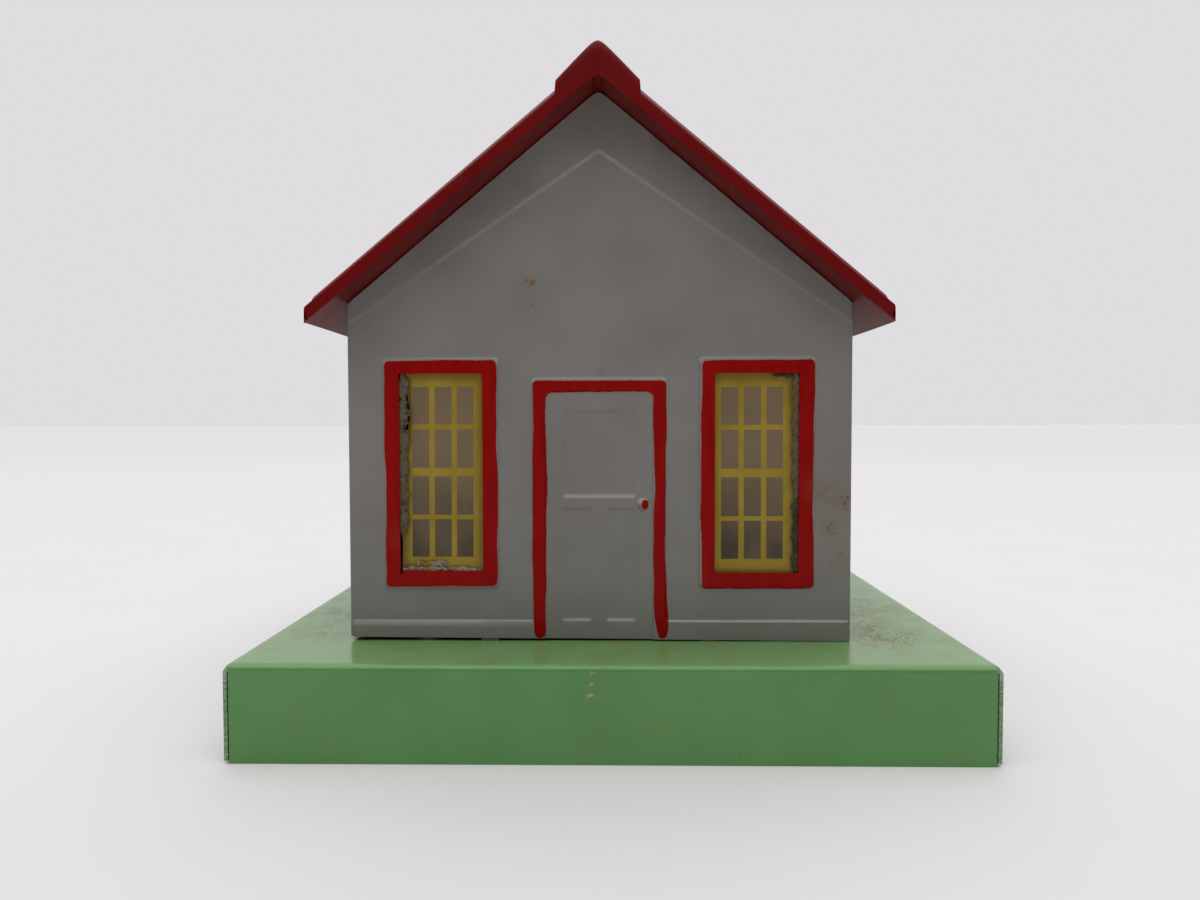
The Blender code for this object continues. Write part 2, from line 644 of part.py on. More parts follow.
def cam_lock(steel, brass):
    """Cam lock: housing and nut fixed in the door; plug, cam and screw turn together."""
    axle = bpy.data.objects.new("lock_axis", None)
    axle.location = LOCK_AT
    bpy.context.scene.collection.objects.link(axle)

    flange_top = DOOR_LOW_Z - GAP
    flange_low = flange_top - LOCK_FLANGE_T
    nut_low = DOOR_TOP_Z + GAP
    nut_top = nut_low + LOCK_NUT_T
    bore = LOCK_PLUG_R + GAP
    barrel_top = max(nut_top, BASE_TOP)
    housing = ring("lock_housing", bore, LOCK_BARREL_R, flange_top - EMBED, barrel_top, steel)
    flange_r = LOCK_BARREL_R + LOCK_FLANGE_RIM
    flange = ring("guide_lock_flange", bore, flange_r, flange_low, flange_top)
    combine(housing, flange, "UNION")

    nut = ring("lock_nut", LOCK_BARREL_R + GAP, LOCK_NUT_R, nut_low, nut_top, steel, 28, 6)

    head_top = flange_low - GAP
    head_low = head_top - PLUG_HEAD_T
    head_r = LOCK_PLUG_R + PLUG_HEAD_RIM
    plug_top = barrel_top + GAP
    bore_r = SCREW_R + GAP
    bore_depth = SCREW_L + GAP
    profile = [(0, head_low), (head_r, head_low), (head_r, head_top), (LOCK_PLUG_R, head_top),
               (LOCK_PLUG_R, plug_top), (bore_r, plug_top), (bore_r, plug_top - bore_depth),
               (0, plug_top - bore_depth)]
    plug = turned("lock_plug", profile, brass)
    keyway = boxes("guide_keyway", [((-KEYWAY_W / 2, -KEYWAY_T / 2, head_low - OVERCUT),
                                     (KEYWAY_W / 2, KEYWAY_T / 2, head_top))])
    combine(plug, keyway, "DIFFERENCE")

    cam_low = plug_top + GAP
    cam_top = cam_low + CAM_T
    reach = LOCK_INSET + CAM_REACH
    round_end = arc(0, 0, CAM_W / 2, 90, 270, 10)
    tip = arc(reach - CAM_TIP_R, 0, CAM_TIP_R, -90, 90, 6)
    cam = prism("lock_cam", round_end + tip, "Z", cam_low, cam_top, steel)
    hole = arc(0, 0, bore_r, 0, 360, 16)[:-1]
    cam_hole = prism("guide_cam_hole", hole, "Z", cam_low - OVERCUT, cam_top + OVERCUT)
    combine(cam, cam_hole, "DIFFERENCE")

    under = cam_top + GAP
    over = under + SCREW_HEAD_T
    tip_z = plug_top - SCREW_L
    profile = [(0, tip_z), (SCREW_R, tip_z), (SCREW_R, under), (SCREW_HEAD_R, under),
               (SCREW_HEAD_R, over - SCREW_CHAMFER), (SCREW_HEAD_R - SCREW_CHAMFER, over), (0, over)]
    screw = turned("cam_screw", profile, steel, steps=20)
    half_w, half_l = DRIVER_SLOT_W / 2, SCREW_HEAD_R + OVERCUT
    driver = boxes("guide_driver_slot", [((-half_w, -half_l, over - DRIVER_SLOT_DEPTH),
                                          (half_w, half_l, over + OVERCUT))])
    combine(screw, driver, "DIFFERENCE")

    for ob in (housing, nut, plug, cam, screw, flange, keyway, cam_hole, driver):
        ob.parent = axle
    for ob in (housing, nut, plug, screw):
        smooth(ob)


def main():
    clear_scene()
    green = material("green_enamel", (0.09, 0.22, 0.08), 0.3)
    grey = material("grey_enamel", (0.20, 0.20, 0.19), 0.35)
    red = material("red_enamel", (0.22, 0.008, 0.01), 0.15)
    yellow = material("printed_film", (0.35, 0.27, 0.03), 0.5)
    steel = material("bright_steel", (0.55, 0.55, 0.54), 0.35, 1.0)
    brass = material("brass", (0.6, 0.42, 0.17), 0.35, 1.0)

    base_pan(green)
    walls(grey, yellow)
    roof_skin(red)
    roof_liner(red)
    trap_door(green)
    hinge_pin(steel)
    cam_lock(steel, brass)


main()
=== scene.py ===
# %% [markdown]
# # A tin money box in the form of a gabled house
#
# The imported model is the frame: it says where every pressed part sits and what moves. This file
# makes the surfaces that a maker would see and touch: rounded bends, soft embossing, a trim
# painted by hand, printed window films and years of dust. Each cell first says what the piece
# is, then makes it.

# %% Load the frame
import math

import bpy
import numpy as np
from mathutils import Matrix, Vector


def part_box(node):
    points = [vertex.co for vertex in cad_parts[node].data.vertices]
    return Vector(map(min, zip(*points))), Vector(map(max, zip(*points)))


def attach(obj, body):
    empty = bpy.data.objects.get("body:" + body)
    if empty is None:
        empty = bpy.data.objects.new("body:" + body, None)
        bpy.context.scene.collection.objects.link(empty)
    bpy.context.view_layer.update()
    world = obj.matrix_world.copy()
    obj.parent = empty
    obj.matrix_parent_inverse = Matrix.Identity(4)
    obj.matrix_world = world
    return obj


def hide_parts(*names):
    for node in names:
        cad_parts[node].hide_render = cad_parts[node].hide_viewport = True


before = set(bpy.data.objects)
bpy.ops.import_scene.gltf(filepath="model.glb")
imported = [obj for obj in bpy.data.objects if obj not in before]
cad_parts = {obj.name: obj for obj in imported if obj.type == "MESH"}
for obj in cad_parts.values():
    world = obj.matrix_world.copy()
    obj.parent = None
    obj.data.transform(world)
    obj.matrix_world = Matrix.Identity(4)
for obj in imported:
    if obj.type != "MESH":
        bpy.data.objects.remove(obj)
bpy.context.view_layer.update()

MM = 0.001

# %% [markdown]
# ## Sizes taken from the frame
#
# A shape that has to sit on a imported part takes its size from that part's box, so nothing is
# fitted by eye. Everything below is worked out in millimetres, in the house's own frame: X runs
# to the right from the middle of the house, Y to the back and Z up from the table.

# %% Sizes of the sheet-metal parts


def span(node):
    """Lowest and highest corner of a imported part, in millimetres, as two arrays."""
    return [np.array(corner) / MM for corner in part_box(node)]


pan_low, pan_high = span("base_pan")
front_low, front_high = span("front_wall")
rear_high = span("rear_wall")[1]
right_high = span("right_wall")[1]
skin_low, skin_high = span("roof_skin")
liner_low, liner_high = span("roof_liner")

EMBOSS = 0.5                       # how far the pressed bands stand out
WALL_SHEET = 0.6
GAP = 0.3                          # between pieces that touch
SEAT_GAP = 0.5                     # under the walls
WALL_BEND = 1.4                    # outer radius of the upright corners
WALL_RETURN = 9.0                  # how far the gable walls run back along the sides
ROOF_SHEET = 0.6
ROOF_PITCH = math.radians(39.8)
SLOPE = math.tan(ROOF_PITCH)
RIDGE_ROUND = 0.9                  # radius of the crease along the ridge

HOUSE_X = (front_low[0] + front_high[0]) / 2
BASE_TOP = pan_high[2]
HALF_W = (front_high[0] - front_low[0]) / 2
HALF_D = rear_high[1] - EMBOSS
LINER_HALF = (liner_high[0] - liner_low[0]) / 2
LINER_GAP = 0.4                    # upright, between the wall tops and the liner
APEX = liner_low[2] - LINER_GAP + SLOPE * LINER_HALF
ROOF_HALF = (skin_high[0] - skin_low[0]) / 2
ROOF_Y = skin_high[1]
SIDE_FACE = right_high[0] - HOUSE_X - EMBOSS
SIDE_END = right_high[1]
print("house %.1f x %.1f mm, apex %.1f mm up, roof %.1f x %.1f mm" %
      (2 * HALF_W, 2 * HALF_D, APEX, 2 * ROOF_HALF, 2 * ROOF_Y))

# %% [markdown]
# ## How a pressed sheet is made here
#
# A sheet could be a plane that is cut and pushed about by hand. It is easier to change, and
# always exact, as a grid: two rows of numbers say where the grid lines lie, a formula turns each
# crossing into a point, and the quads over a hole are left out. The back of the sheet is every
# point moved in along its normal, and a rim joins the two round each free edge.

# %% Grids, sheets and meshes


def grid_lines(low, high, step, marks=()):
    """Numbers from low to high: every mark between them, and even steps from mark to mark."""
    inside = [m for m in marks if low < m < high]
    stops = np.unique(np.round([low, high, *inside], 4))
    runs = [np.linspace(a, b, max(1, math.ceil((b - a) / step)), endpoint=False)
            for a, b in zip(stops, stops[1:])]
    return np.concatenate(runs + [stops[-1:]])


def near(edges, width):
    """Marks across each edge, so that a soft shoulder of that width gets five grid lines."""
    return [e + width * k for e in edges for k in (-0.5, -0.25, 0, 0.25, 0.5)]


def grid_quads(shape, keep=None):
    """Corner numbers of a grid's quads; they look along first direction x second direction."""
    index = np.arange(shape[0] * shape[1]).reshape(shape)
    quads = np.stack([index[:-1, :-1], index[1:, :-1], index[1:, 1:], index[:-1, 1:]], axis=-1)
    return quads.reshape(-1, 4) if keep is None else quads[keep]


def middles(grid):
    """Value in the middle of each quad: the mean of its four corners."""
    return (grid[:-1, :-1] + grid[1:, :-1] + grid[1:, 1:] + grid[:-1, 1:]) / 4


def point_normals(points, quads):
    """Unit normal at each point: the sum of its quads' crossed diagonals, made one long."""
    across = np.cross(points[quads[:, 2]] - points[quads[:, 0]],
                      points[quads[:, 3]] - points[quads[:, 1]])
    total = np.zeros_like(points)
    for corner in range(4):
        np.add.at(total, quads[:, corner], across)
    return total / np.maximum(np.linalg.norm(total, axis=1, keepdims=True), 1e-12)


def free_edges(quads, count):
    """Edges that belong to one quad only, in that quad's direction."""
    edges = np.stack([quads, np.roll(quads, -1, axis=1)], axis=-1).reshape(-1, 2)
    code = edges.min(axis=1) * count + edges.max(axis=1)
    _, back, uses = np.unique(code, return_inverse=True, return_counts=True)
    return edges[uses[back.ravel()] == 1]


def thicken(points, quads, sheet):
    """Close an open sheet: inner point = point - sheet x normal, with a rim at the free edges."""
    count = len(points)
    inner = points - sheet * point_normals(points, quads)
    rim = free_edges(quads, count)
    rims = np.stack([rim[:, 1], rim[:, 0], rim[:, 0] + count, rim[:, 1] + count], axis=-1)
    return np.vstack([points, inner]), np.vstack([quads, quads[:, ::-1] + count, rims])


class Shell:
    """Collects grids, in millimetres and in the house's frame, for one piece."""

    def __init__(self):
        self.points, self.quads, self.marks, self.count = [], [], [], 0

    def add(self, points, quads, sheet=0.0, **marks):
        """Add a grid of points; marks are further numbers for each point, kept by name."""
        points = points.reshape(-1, 3)
        used, quads = np.unique(quads, return_inverse=True)
        quads = quads.reshape(-1, 4)
        points = points[used]
        marks = {name: np.ravel(value)[used] for name, value in marks.items()}
        if sheet:
            points, quads = thicken(points, quads, sheet)
            marks = {name: np.tile(value, 2) for name, value in marks.items()}
        self.points.append(points)
        self.quads.append(quads + self.count)
        self.marks.append((len(points), marks))
        self.count += len(points)

    def turn(self, quarters):
        """Turn by quarter turns about the middle of the house, with whole numbers only."""
        cosine, sine = ((1, 0), (0, 1), (-1, 0), (0, -1))[quarters % 4]
        spin = np.array([[cosine, -sine, 0], [sine, cosine, 0], [0, 0, 1]])
        self.points = [points @ spin.T for points in self.points]

    def piece(self, name, finish, sharp=35, shift=True):
        """Make the mesh: millimetres to metres, house frame to table frame, smooth shading."""
        points = np.vstack(self.points)
        if shift:
            points = points + [HOUSE_X, 0, 0]
        mesh = bpy.data.meshes.new(name)
        mesh.from_pydata(points * MM, [], np.vstack(self.quads))
        for key in sorted({key for _, marks in self.marks for key in marks}):
            values = [marks.get(key, np.zeros(count)) for count, marks in self.marks]
            layer = mesh.attributes.new(key, "FLOAT", "POINT")
            layer.data.foreach_set("value", np.concatenate(values).astype(np.float32))
        mesh.update()
        mesh.shade_smooth()
        mesh.set_sharp_from_angle(angle=math.radians(sharp))
        ob = bpy.data.objects.new(name, mesh)
        bpy.context.scene.collection.objects.link(ob)
        mesh.materials.append(finish)
        print("%s: %d quads" % (name, len(mesh.polygons)))
        return ob


def show(piece, body, slot, *nodes):
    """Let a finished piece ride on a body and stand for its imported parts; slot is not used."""
    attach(piece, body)
    if nodes:
        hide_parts(*nodes)
    return piece


# %% [markdown]
# ## Formulas for pressed shapes
#
# Embossing is a height that is added to a flat sheet. Each raised band is a rectangle with
# rounded corners, and the height is a smooth step on the distance to its edge. The same distance
# later tells the paint where it ends, so metal and paint always agree.

# %% Distances and steps


def both(values):
    """Every value on both sides of the middle."""
    return [side * value for side in (-1, 1) for value in values]


def box_distance(x, z, x0, x1, z0, z1, corner=0.0):
    """Distance to a rectangle with round corners, negative inside it."""
    dx = np.abs(x - (x0 + x1) / 2) - (x1 - x0) / 2 + corner
    dz = np.abs(z - (z0 + z1) / 2) - (z1 - z0) / 2 + corner
    outside = np.hypot(np.maximum(dx, 0), np.maximum(dz, 0))
    return outside + np.minimum(np.maximum(dx, dz), 0) - corner


def inside_step(distance, width):
    """1 inside, 0 outside, with a smooth shoulder: 3t^2 - 2t^3 across the width."""
    t = np.clip(0.5 - distance / width, 0, 1)
    return t * t * (3 - 2 * t)


def spots(x, z, places):
    """Sum of soft round spots, each a bell exp(-(r / size)^2) at (x, z, size, strength)."""
    total = np.zeros(np.broadcast(x, z).shape)
    for cx, cz, size, strength in places:
        total += strength * np.exp(-((x - cx) ** 2 + (z - cz) ** 2) / size ** 2)
    return total


def roof_line(x):
    """Height of the slope through the wall tops, with a rounded crease at the ridge."""
    return APEX - SLOPE * np.sqrt(x * x + RIDGE_ROUND ** 2)


# %% [markdown]
# ## Camera
#
# The camera stands close to the front of the house, a little right of its middle, and looks down
# by two degrees. Its three angles are written as turns about the upright, then sideways, then
# forward axes, because that is how one would set up a real camera on a tripod.

# %% Camera


def place_camera():
    """Set up the camera from its place and three angles."""
    yaw, pitch, roll = -0.0165, 0.0361, -0.0018
    across = Vector((math.cos(yaw), -math.sin(yaw), 0))
    level = Vector((math.sin(yaw), math.cos(yaw), 0))
    up = Vector((0, 0, 1))
    forward = math.cos(pitch) * level - math.sin(pitch) * up
    raised = math.sin(pitch) * level + math.cos(pitch) * up
    right = math.cos(roll) * across + math.sin(roll) * raised
    top = math.cos(roll) * raised - math.sin(roll) * across
    turn = Matrix((right, top, -forward)).transposed().to_4x4()
    data = bpy.data.cameras.new("camera")
    data.lens, data.sensor_width = 25.5, 36.0
    data.clip_start = 0.01
    camera = bpy.data.objects.new("camera", data)
    camera.matrix_world = Matrix.Translation((0.00107, -0.3205, 0.0904)) @ turn
    bpy.context.scene.collection.objects.link(camera)
    bpy.context.scene.camera = camera
    print("camera %.0f mm in front of the base" % (pan_low[1] - camera.location.y / MM))


place_camera()

# %% [markdown]
# ## Small helpers for materials
#
# A material is a chain of nodes. These helpers add one node each and return its output, so that
# a finish reads like a recipe: a pattern, a threshold, a mix. Patterns read the object's own
# coordinates in millimetres, so a 0.5 mm fleck is written as 0.5.

# %% Node helpers


def node(tree, kind, *values, out=0, **settings):
    """Add a node; values fill its inputs in order: a socket is linked, a number is set."""
    made = tree.nodes.new("ShaderNode" + kind)
    for key, value in settings.items():
        setattr(made, key, value)
    for socket, value in zip(made.inputs, values):
        if isinstance(value, bpy.types.NodeSocket):
            tree.links.new(value, socket)
        elif value is not None:
            socket.default_value = value
    return made.outputs[out]


def math_of(tree, operation, *values):
    """One step of arithmetic."""
    return node(tree, "Math", *values, operation=operation)


def mark(tree, name):
    """A number stored on the mesh's points."""
    return node(tree, "Attribute", attribute_name=name, out="Fac")


def millimetres(tree):
    """The object's own coordinates, in millimetres."""
    place = node(tree, "TexCoord", out="Object")
    return node(tree, "VectorMath", place, (1 / MM,) * 3, operation="MULTIPLY")


def noise(tree, place, size, detail=2.0, rough=0.5, stretch=None):
    """Cloudy pattern from 0 to 1 whose patches are about as wide as size, in millimetres."""
    if stretch is not None:
        place = node(tree, "VectorMath", place, stretch, operation="MULTIPLY")
    return node(tree, "TexNoise", place, None, 1 / size, detail, rough, out="Fac")


def ramp(tree, value, low, high, smooth=True):
    """0 below low and 1 above high (or the other way round), with a soft or straight rise."""
    kind = "SMOOTHSTEP" if smooth else "LINEAR"
    return node(tree, "MapRange", value, low, high, 0.0, 1.0, interpolation_type=kind)


def blend(tree, share, a, b):
    """Colour a where the share is 0, colour b where it is 1."""
    made = tree.nodes.new("ShaderNodeMix")
    made.data_type = "RGBA"
    for socket, value in ((made.inputs[0], share), (made.inputs[6], a), (made.inputs[7], b)):
        if isinstance(value, bpy.types.NodeSocket):
            tree.links.new(value, socket)
        else:
            socket.default_value = (*value, 1.0) if isinstance(value, tuple) else value
    return made.outputs[2]


def tint(tree, tone, share, strength, colour):
    """Mix a colour over a tone, at most as strongly as stated."""
    return blend(tree, math_of(tree, "MULTIPLY", share, strength), tone, colour)


def level(tree, share, a, b):
    """Number a where the share is 0, number b where it is 1."""
    return math_of(tree, "MULTIPLY_ADD", share, b - a, a)


def finish(name, colour, roughness, bumps, metallic=0.0, specular=0.5, coat=0.0):
    """Join a recipe to a shader. bumps is a list of (height in mm, strength)."""
    mat = bpy.data.materials[name]
    tree = mat.node_tree
    shader = tree.nodes["Principled BSDF"]
    for key, value in (("Base Color", colour), ("Roughness", roughness),
                       ("Metallic", metallic)):
        if isinstance(value, bpy.types.NodeSocket):
            tree.links.new(value, shader.inputs[key])
        else:
            shader.inputs[key].default_value = (*value, 1.0) if key == "Base Color" else value
    shader.inputs["Specular IOR Level"].default_value = specular
    shader.inputs["Coat Weight"].default_value = coat
    shader.inputs["Coat Roughness"].default_value = 0.08
    normal = None
    for height, strength in bumps:
        bump = tree.nodes.new("ShaderNodeBump")
        bump.inputs["Distance"].default_value = MM
        bump.inputs["Strength"].default_value = strength
        tree.links.new(height, bump.inputs["Height"])
        if normal is not None:
            tree.links.new(normal, bump.inputs["Normal"])
        normal = bump.outputs[0]
    if normal is not None:
        tree.links.new(normal, shader.inputs["Normal"])
    return mat


def new_finish(name):
    """Start a material and return its node tree."""
    mat = bpy.data.materials.new(name)
    mat.use_nodes = True
    return mat.node_tree


# %% [markdown]
# ## Grey enamel with a red trim
#
# The walls are sprayed grey, then the bands round the windows and the door are brushed red by
# hand. One recipe does both: the mesh carries the distance to the painted edge, a little noise
# makes the brush wander, and the paint's own thickness is a bump at that edge. Rust comes in
# flecks where the mesh says that it has started. A thin brown film is partly grime and partly
# painted shade under the eaves and at the upper corners, and the upward-facing steps of the
# pressing carry a pale painted highlight.

# %% Wall finishes
BARE_STEEL = (0.34, 0.33, 0.32)
RUST_BROWN = (0.130, 0.070, 0.028)
GRIME_AND_SHADE = (0.10, 0.075, 0.045)


def flecks(tree, place, amount, size):
    """Share covered by specks: fine noise that must pass a threshold set by the amount."""
    cloud = noise(tree, place, size, 3.0, 0.6)
    return ramp(tree, math_of(tree, "MULTIPLY_ADD", amount, 0.55, cloud), 0.78, 0.86)


def enamel_wall(name, painted):
    """Satin grey enamel; with painted, also the red trim, rust, grime mixed with painted shade, and
    a painted highlight on upward steps, all stored on the mesh.
    """
    tree = new_finish(name)
    place = millimetres(tree)
    cloud = noise(tree, place, 26.0, 3.0, 0.55)
    tone = blend(tree, ramp(tree, cloud, 0.3, 0.7), (0.212, 0.202, 0.186), (0.234, 0.226, 0.211))
    specks = ramp(tree, noise(tree, place, 1.1, 2.0, 0.5), 0.72, 0.79)
    tone = tint(tree, tone, specks, 0.35, (0.12, 0.10, 0.08))
    peel = noise(tree, place, 1.6, 2.0, 0.5)
    waves = noise(tree, place, 14.0, 1.0, 0.5)
    rough = level(tree, noise(tree, place, 6.0, 3.0, 0.6), 0.34, 0.50)
    bumps = [(waves, 0.10), (peel, 0.03)]
    if painted:
        cloudy = level(tree, noise(tree, place, 5.0, 4.0, 0.65), 0.15, 0.75)
        # grime and painted shade: a thin brown film, grime near the rust and painted shade under
        # the eaves and at the upper corners
        tone = tint(tree, tone, mark(tree, "grime"), cloudy, GRIME_AND_SHADE)
        # painted highlight: the upward-facing steps of the pressing are painted pale grey
        ledge_highlight_strength = level(tree, noise(tree, place, 3.0, 3.0, 0.6), 0.25, 0.75)
        tone = tint(tree, tone, mark(tree, "ledge"), ledge_highlight_strength, (0.46, 0.45, 0.43))
        waver = math_of(tree, "SUBTRACT", noise(tree, place, 1.4, 2.0, 0.6), 0.5)
        edge = math_of(tree, "MULTIPLY_ADD", waver, 0.45, mark(tree, "trim"))
        paint = ramp(tree, edge, 0.06, -0.06)
        streak = noise(tree, place, 2.0, 2.0, 0.5, (1.0, 1.0, 0.12))
        red = blend(tree, ramp(tree, streak, 0.3, 0.7), (0.250, 0.0012, 0.0008),
                    (0.295, 0.0026, 0.0018))
        tone = blend(tree, paint, tone, red)
        chips = flecks(tree, place, mark(tree, "rust"), 0.9)
        tone = blend(tree, chips, tone, RUST_BROWN)
        halo = ramp(tree, mark(tree, "rust"), 0.05, 0.7)
        tone = tint(tree, tone, halo, 0.45, (0.24, 0.15, 0.075))
        thickness = ramp(tree, edge, 0.10, -0.35)
        bumps += [(thickness, 0.12), (math_of(tree, "MULTIPLY", chips, -1.0), 0.15)]
        rough = math_of(tree, "MULTIPLY_ADD", paint, -0.06, rough)
        rough = math_of(tree, "MULTIPLY_ADD", chips, 0.3, rough)
    return finish(name, tone, rough, bumps, specular=0.08)


wall_finish = enamel_wall("grey_wall_enamel", True)
print("wall finish:", wall_finish.name)

# %% [markdown]
# ## Red roof enamel and green base enamel
#
# Both are glossier than the walls, so their reflections carry the look: a faint orange peel
# breaks them up, a few rubbed patches dull them, and loose brown dirt lies where nobody dusts.
# The dirt's place is stored on the mesh; its grain is noise. The base's top is painted a paler
# green as painted light, and the roof gets a pale painted highlight along its raised field.

# %% Roof and base finishes


def enamel_gloss(name, dark, light, roughness, gloss, dirty):
    """Glossy enamel: dirt, wear and a paler painted-light top on the base; a painted highlight
    along the roof's raised field.
    """
    tree = new_finish(name)
    place = millimetres(tree)
    tone = blend(tree, ramp(tree, noise(tree, place, 18.0, 3.0, 0.55), 0.3, 0.7), dark, light)
    rubbed = ramp(tree, noise(tree, place, 9.0, 4.0, 0.65, (1.0, 1.0, 1.6)), 0.56, 0.75)
    scratch = ramp(tree, noise(tree, place, 0.5, 2.0, 0.5, (0.05, 1.0, 1.0)), 0.74, 0.80)
    paler = tuple(min(1.0, value * 1.5 + 0.02) for value in light)
    tone = tint(tree, tone, scratch, 0.10, paler)
    peel = noise(tree, place, 1.3, 2.0, 0.5)
    waves = noise(tree, place, 12.0, 1.0, 0.5)
    rough = level(tree, rubbed, roughness, roughness + 0.06)
    bumps = [(waves, 0.06), (peel, 0.012)]
    if not dirty:
        # painted highlight: a pale pink line along the edge of the roof's raised field
        tone = tint(tree, tone, mark(tree, "rubbed"), 0.6, (0.45, 0.17, 0.17))
    else:
        # painted light: the upward-facing top of the base is painted a paler green
        tone = blend(tree, mark(tree, "faded"), tone, (0.165, 0.350, 0.120))
        amount = mark(tree, "dirt")
        grain = flecks(tree, place, math_of(tree, "MULTIPLY", amount, 0.62), 0.8)
        crumbs = flecks(tree, place, math_of(tree, "MULTIPLY", amount, 0.52), 2.6)
        patches = ramp(tree, noise(tree, place, 8.0, 4.0, 0.65), 0.40, 0.62)
        film = math_of(tree, "MULTIPLY", amount, patches)
        tone = tint(tree, tone, film, 0.85, (0.22, 0.20, 0.06))
        tone = tint(tree, tone, grain, 0.8, (0.10, 0.075, 0.025))
        tone = tint(tree, tone, crumbs, 0.6, (0.14, 0.10, 0.03))
        stain = ramp(tree, noise(tree, place, 15.0, 3.0, 0.6), 0.48, 0.72)
        tone = tint(tree, tone, stain, 0.30, (0.13, 0.225, 0.055))
        nick = ramp(tree, noise(tree, place, 1.5, 2.0, 0.5), 0.76, 0.80)
        tone = tint(tree, tone, nick, 0.5, (0.05, 0.09, 0.03))
        worn = flecks(tree, place, mark(tree, "wear"), 0.7)
        tone = blend(tree, worn, tone, BARE_STEEL)
        rough = math_of(tree, "MULTIPLY_ADD", film, 0.15, rough)
        rough = math_of(tree, "MULTIPLY_ADD", grain, 0.3, rough)
        bumps.append((grain, 0.10))
    return finish(name, tone, rough, bumps, specular=gloss)


roof_finish = enamel_gloss("red_roof_enamel", (0.145, 0.0010, 0.0012), (0.166, 0.0018, 0.0020),
                           0.22, 0.36, False)
base_finish = enamel_gloss("green_base_enamel", (0.084, 0.252, 0.067), (0.095, 0.276, 0.075),
                           0.19, 0.50, True)
soffit_finish = enamel_gloss("red_soffit_enamel", (0.125, 0.0012, 0.0014), (0.15, 0.002, 0.002),
                             0.34, 0.22, False)
print("gloss finishes:", roof_finish.name, base_finish.name)

# %% [markdown]
# ## Printed film, glue, steel and brass
#
# The windows are thin film printed with yellow sash bars; between the bars it is clear enough to
# look brown, paler at the top where light gets in over the coins. The mesh stores how far a
# point is from the nearest column and row of panes, so the bars are as crisp as a print.

# %% Finishes of the small parts


def printed_film(name):
    """Film that is clear and brownish in the panes and yellow ink between them."""
    tree = new_finish(name)
    place = millimetres(tree)
    pane = ramp(tree, math_of(tree, "MAXIMUM", mark(tree, "column"), mark(tree, "row")),
                0.10, -0.10)
    # painted light: the panes are painted paler towards the top
    pane_light_height = mark(tree, "height")
    glass = blend(tree, ramp(tree, pane_light_height, 0.08, 0.66), (0.052, 0.040, 0.020), (0.190, 0.135, 0.076))
    smoke = ramp(tree, noise(tree, place, 13.0, 2.0, 0.5), 0.3, 0.75)
    glass = tint(tree, glass, smoke, 0.35, (0.24, 0.165, 0.105))
    ink = blend(tree, ramp(tree, noise(tree, place, 9.0, 3.0, 0.6), 0.3, 0.7),
                (0.290, 0.200, 0.016), (0.36, 0.250, 0.028))
    # painted shade: the ink is darkened within 3 mm of the opening's edges
    edge = ramp(tree, mark(tree, "rim"), 3.0, 0.0)
    ink = tint(tree, ink, edge, 0.45, (0.17, 0.115, 0.02))
    tone = blend(tree, pane, ink, glass)
    specks = ramp(tree, noise(tree, place, 0.9, 2.0, 0.5), 0.74, 0.80)
    tone = tint(tree, tone, specks, 0.4, (0.05, 0.035, 0.015))
    rough = level(tree, pane, 0.42, 0.30)
    ripple = noise(tree, place, 5.0, 2.0, 0.5)
    return finish(name, tone, rough, [(ripple, 0.06), (pane, 0.02)], specular=0.25)


def glue_and_gap_shade_crust(name, light, stain):
    """Lumpy crust: dried glue, and with near-black colours painted shade in a gap; dark gaps
    between lighter patches, stained in places.
    """
    tree = new_finish(name)
    place = millimetres(tree)
    patch = noise(tree, place, 3.2, 4.0, 0.7)
    tone = blend(tree, ramp(tree, patch, 0.36, 0.52), (0.030, 0.024, 0.014), light)
    tone = blend(tree, ramp(tree, noise(tree, place, 6.0, 2.0, 0.5), 0.50, 0.60), tone, stain)
    grain = noise(tree, place, 0.5, 4.0, 0.7)
    return finish(name, tone, 0.65, [(patch, 0.6), (grain, 0.25)], specular=0.3)


def bare_metal(name, dark, light, roughness):
    """Metal with fine drawn lines along X, a few tarnished clouds and small pits."""
    tree = new_finish(name)
    place = millimetres(tree)
    drawn = noise(tree, place, 0.25, 2.0, 0.5, (0.06, 1.0, 1.0))
    cloud = noise(tree, place, 5.0, 4.0, 0.6)
    tone = blend(tree, ramp(tree, cloud, 0.35, 0.7), light, dark)
    pits = ramp(tree, noise(tree, place, 0.7, 2.0, 0.5), 0.72, 0.80)
    tone = tint(tree, tone, pits, 0.6, RUST_BROWN)
    rough = level(tree, cloud, roughness, roughness + 0.22)
    return finish(name, tone, rough, [(drawn, 0.05), (pits, 0.08)], metallic=1.0)


film_finish = printed_film("printed_window_film")
glue_finish = glue_and_gap_shade_crust("old_glue_crust", (0.25, 0.225, 0.185), (0.27, 0.15, 0.035))
dull_glue = glue_and_gap_shade_crust("old_glue_dull", (0.120, 0.098, 0.060), (0.120, 0.082, 0.036))
# painted shade: near-black crust for the dark gaps round the right front film
gap_shade_crust = glue_and_gap_shade_crust("painted_gap_shade", (0.050, 0.044, 0.026), (0.036, 0.030, 0.014))
steel_finish = bare_metal("plain_steel", (0.30, 0.29, 0.27), (0.56, 0.55, 0.53), 0.30)
brass_finish = bare_metal("plain_brass", (0.33, 0.21, 0.08), (0.62, 0.43, 0.17), 0.26)
print("small finishes ready")

# %% [markdown]
# ## Gable walls
#
# Each gable wall is one blank of sheet steel, pressed flat with its bands, panels and knob, and
# then bent round at both upright corners. The grid follows the flat blank: one direction runs
# along the sheet, so the bend is only a formula that wraps that length round a corner. The rows
# run level up to the top of the windows, and above that they fan out so that one row lies along
# the pressed gable line and the last one along the roof.

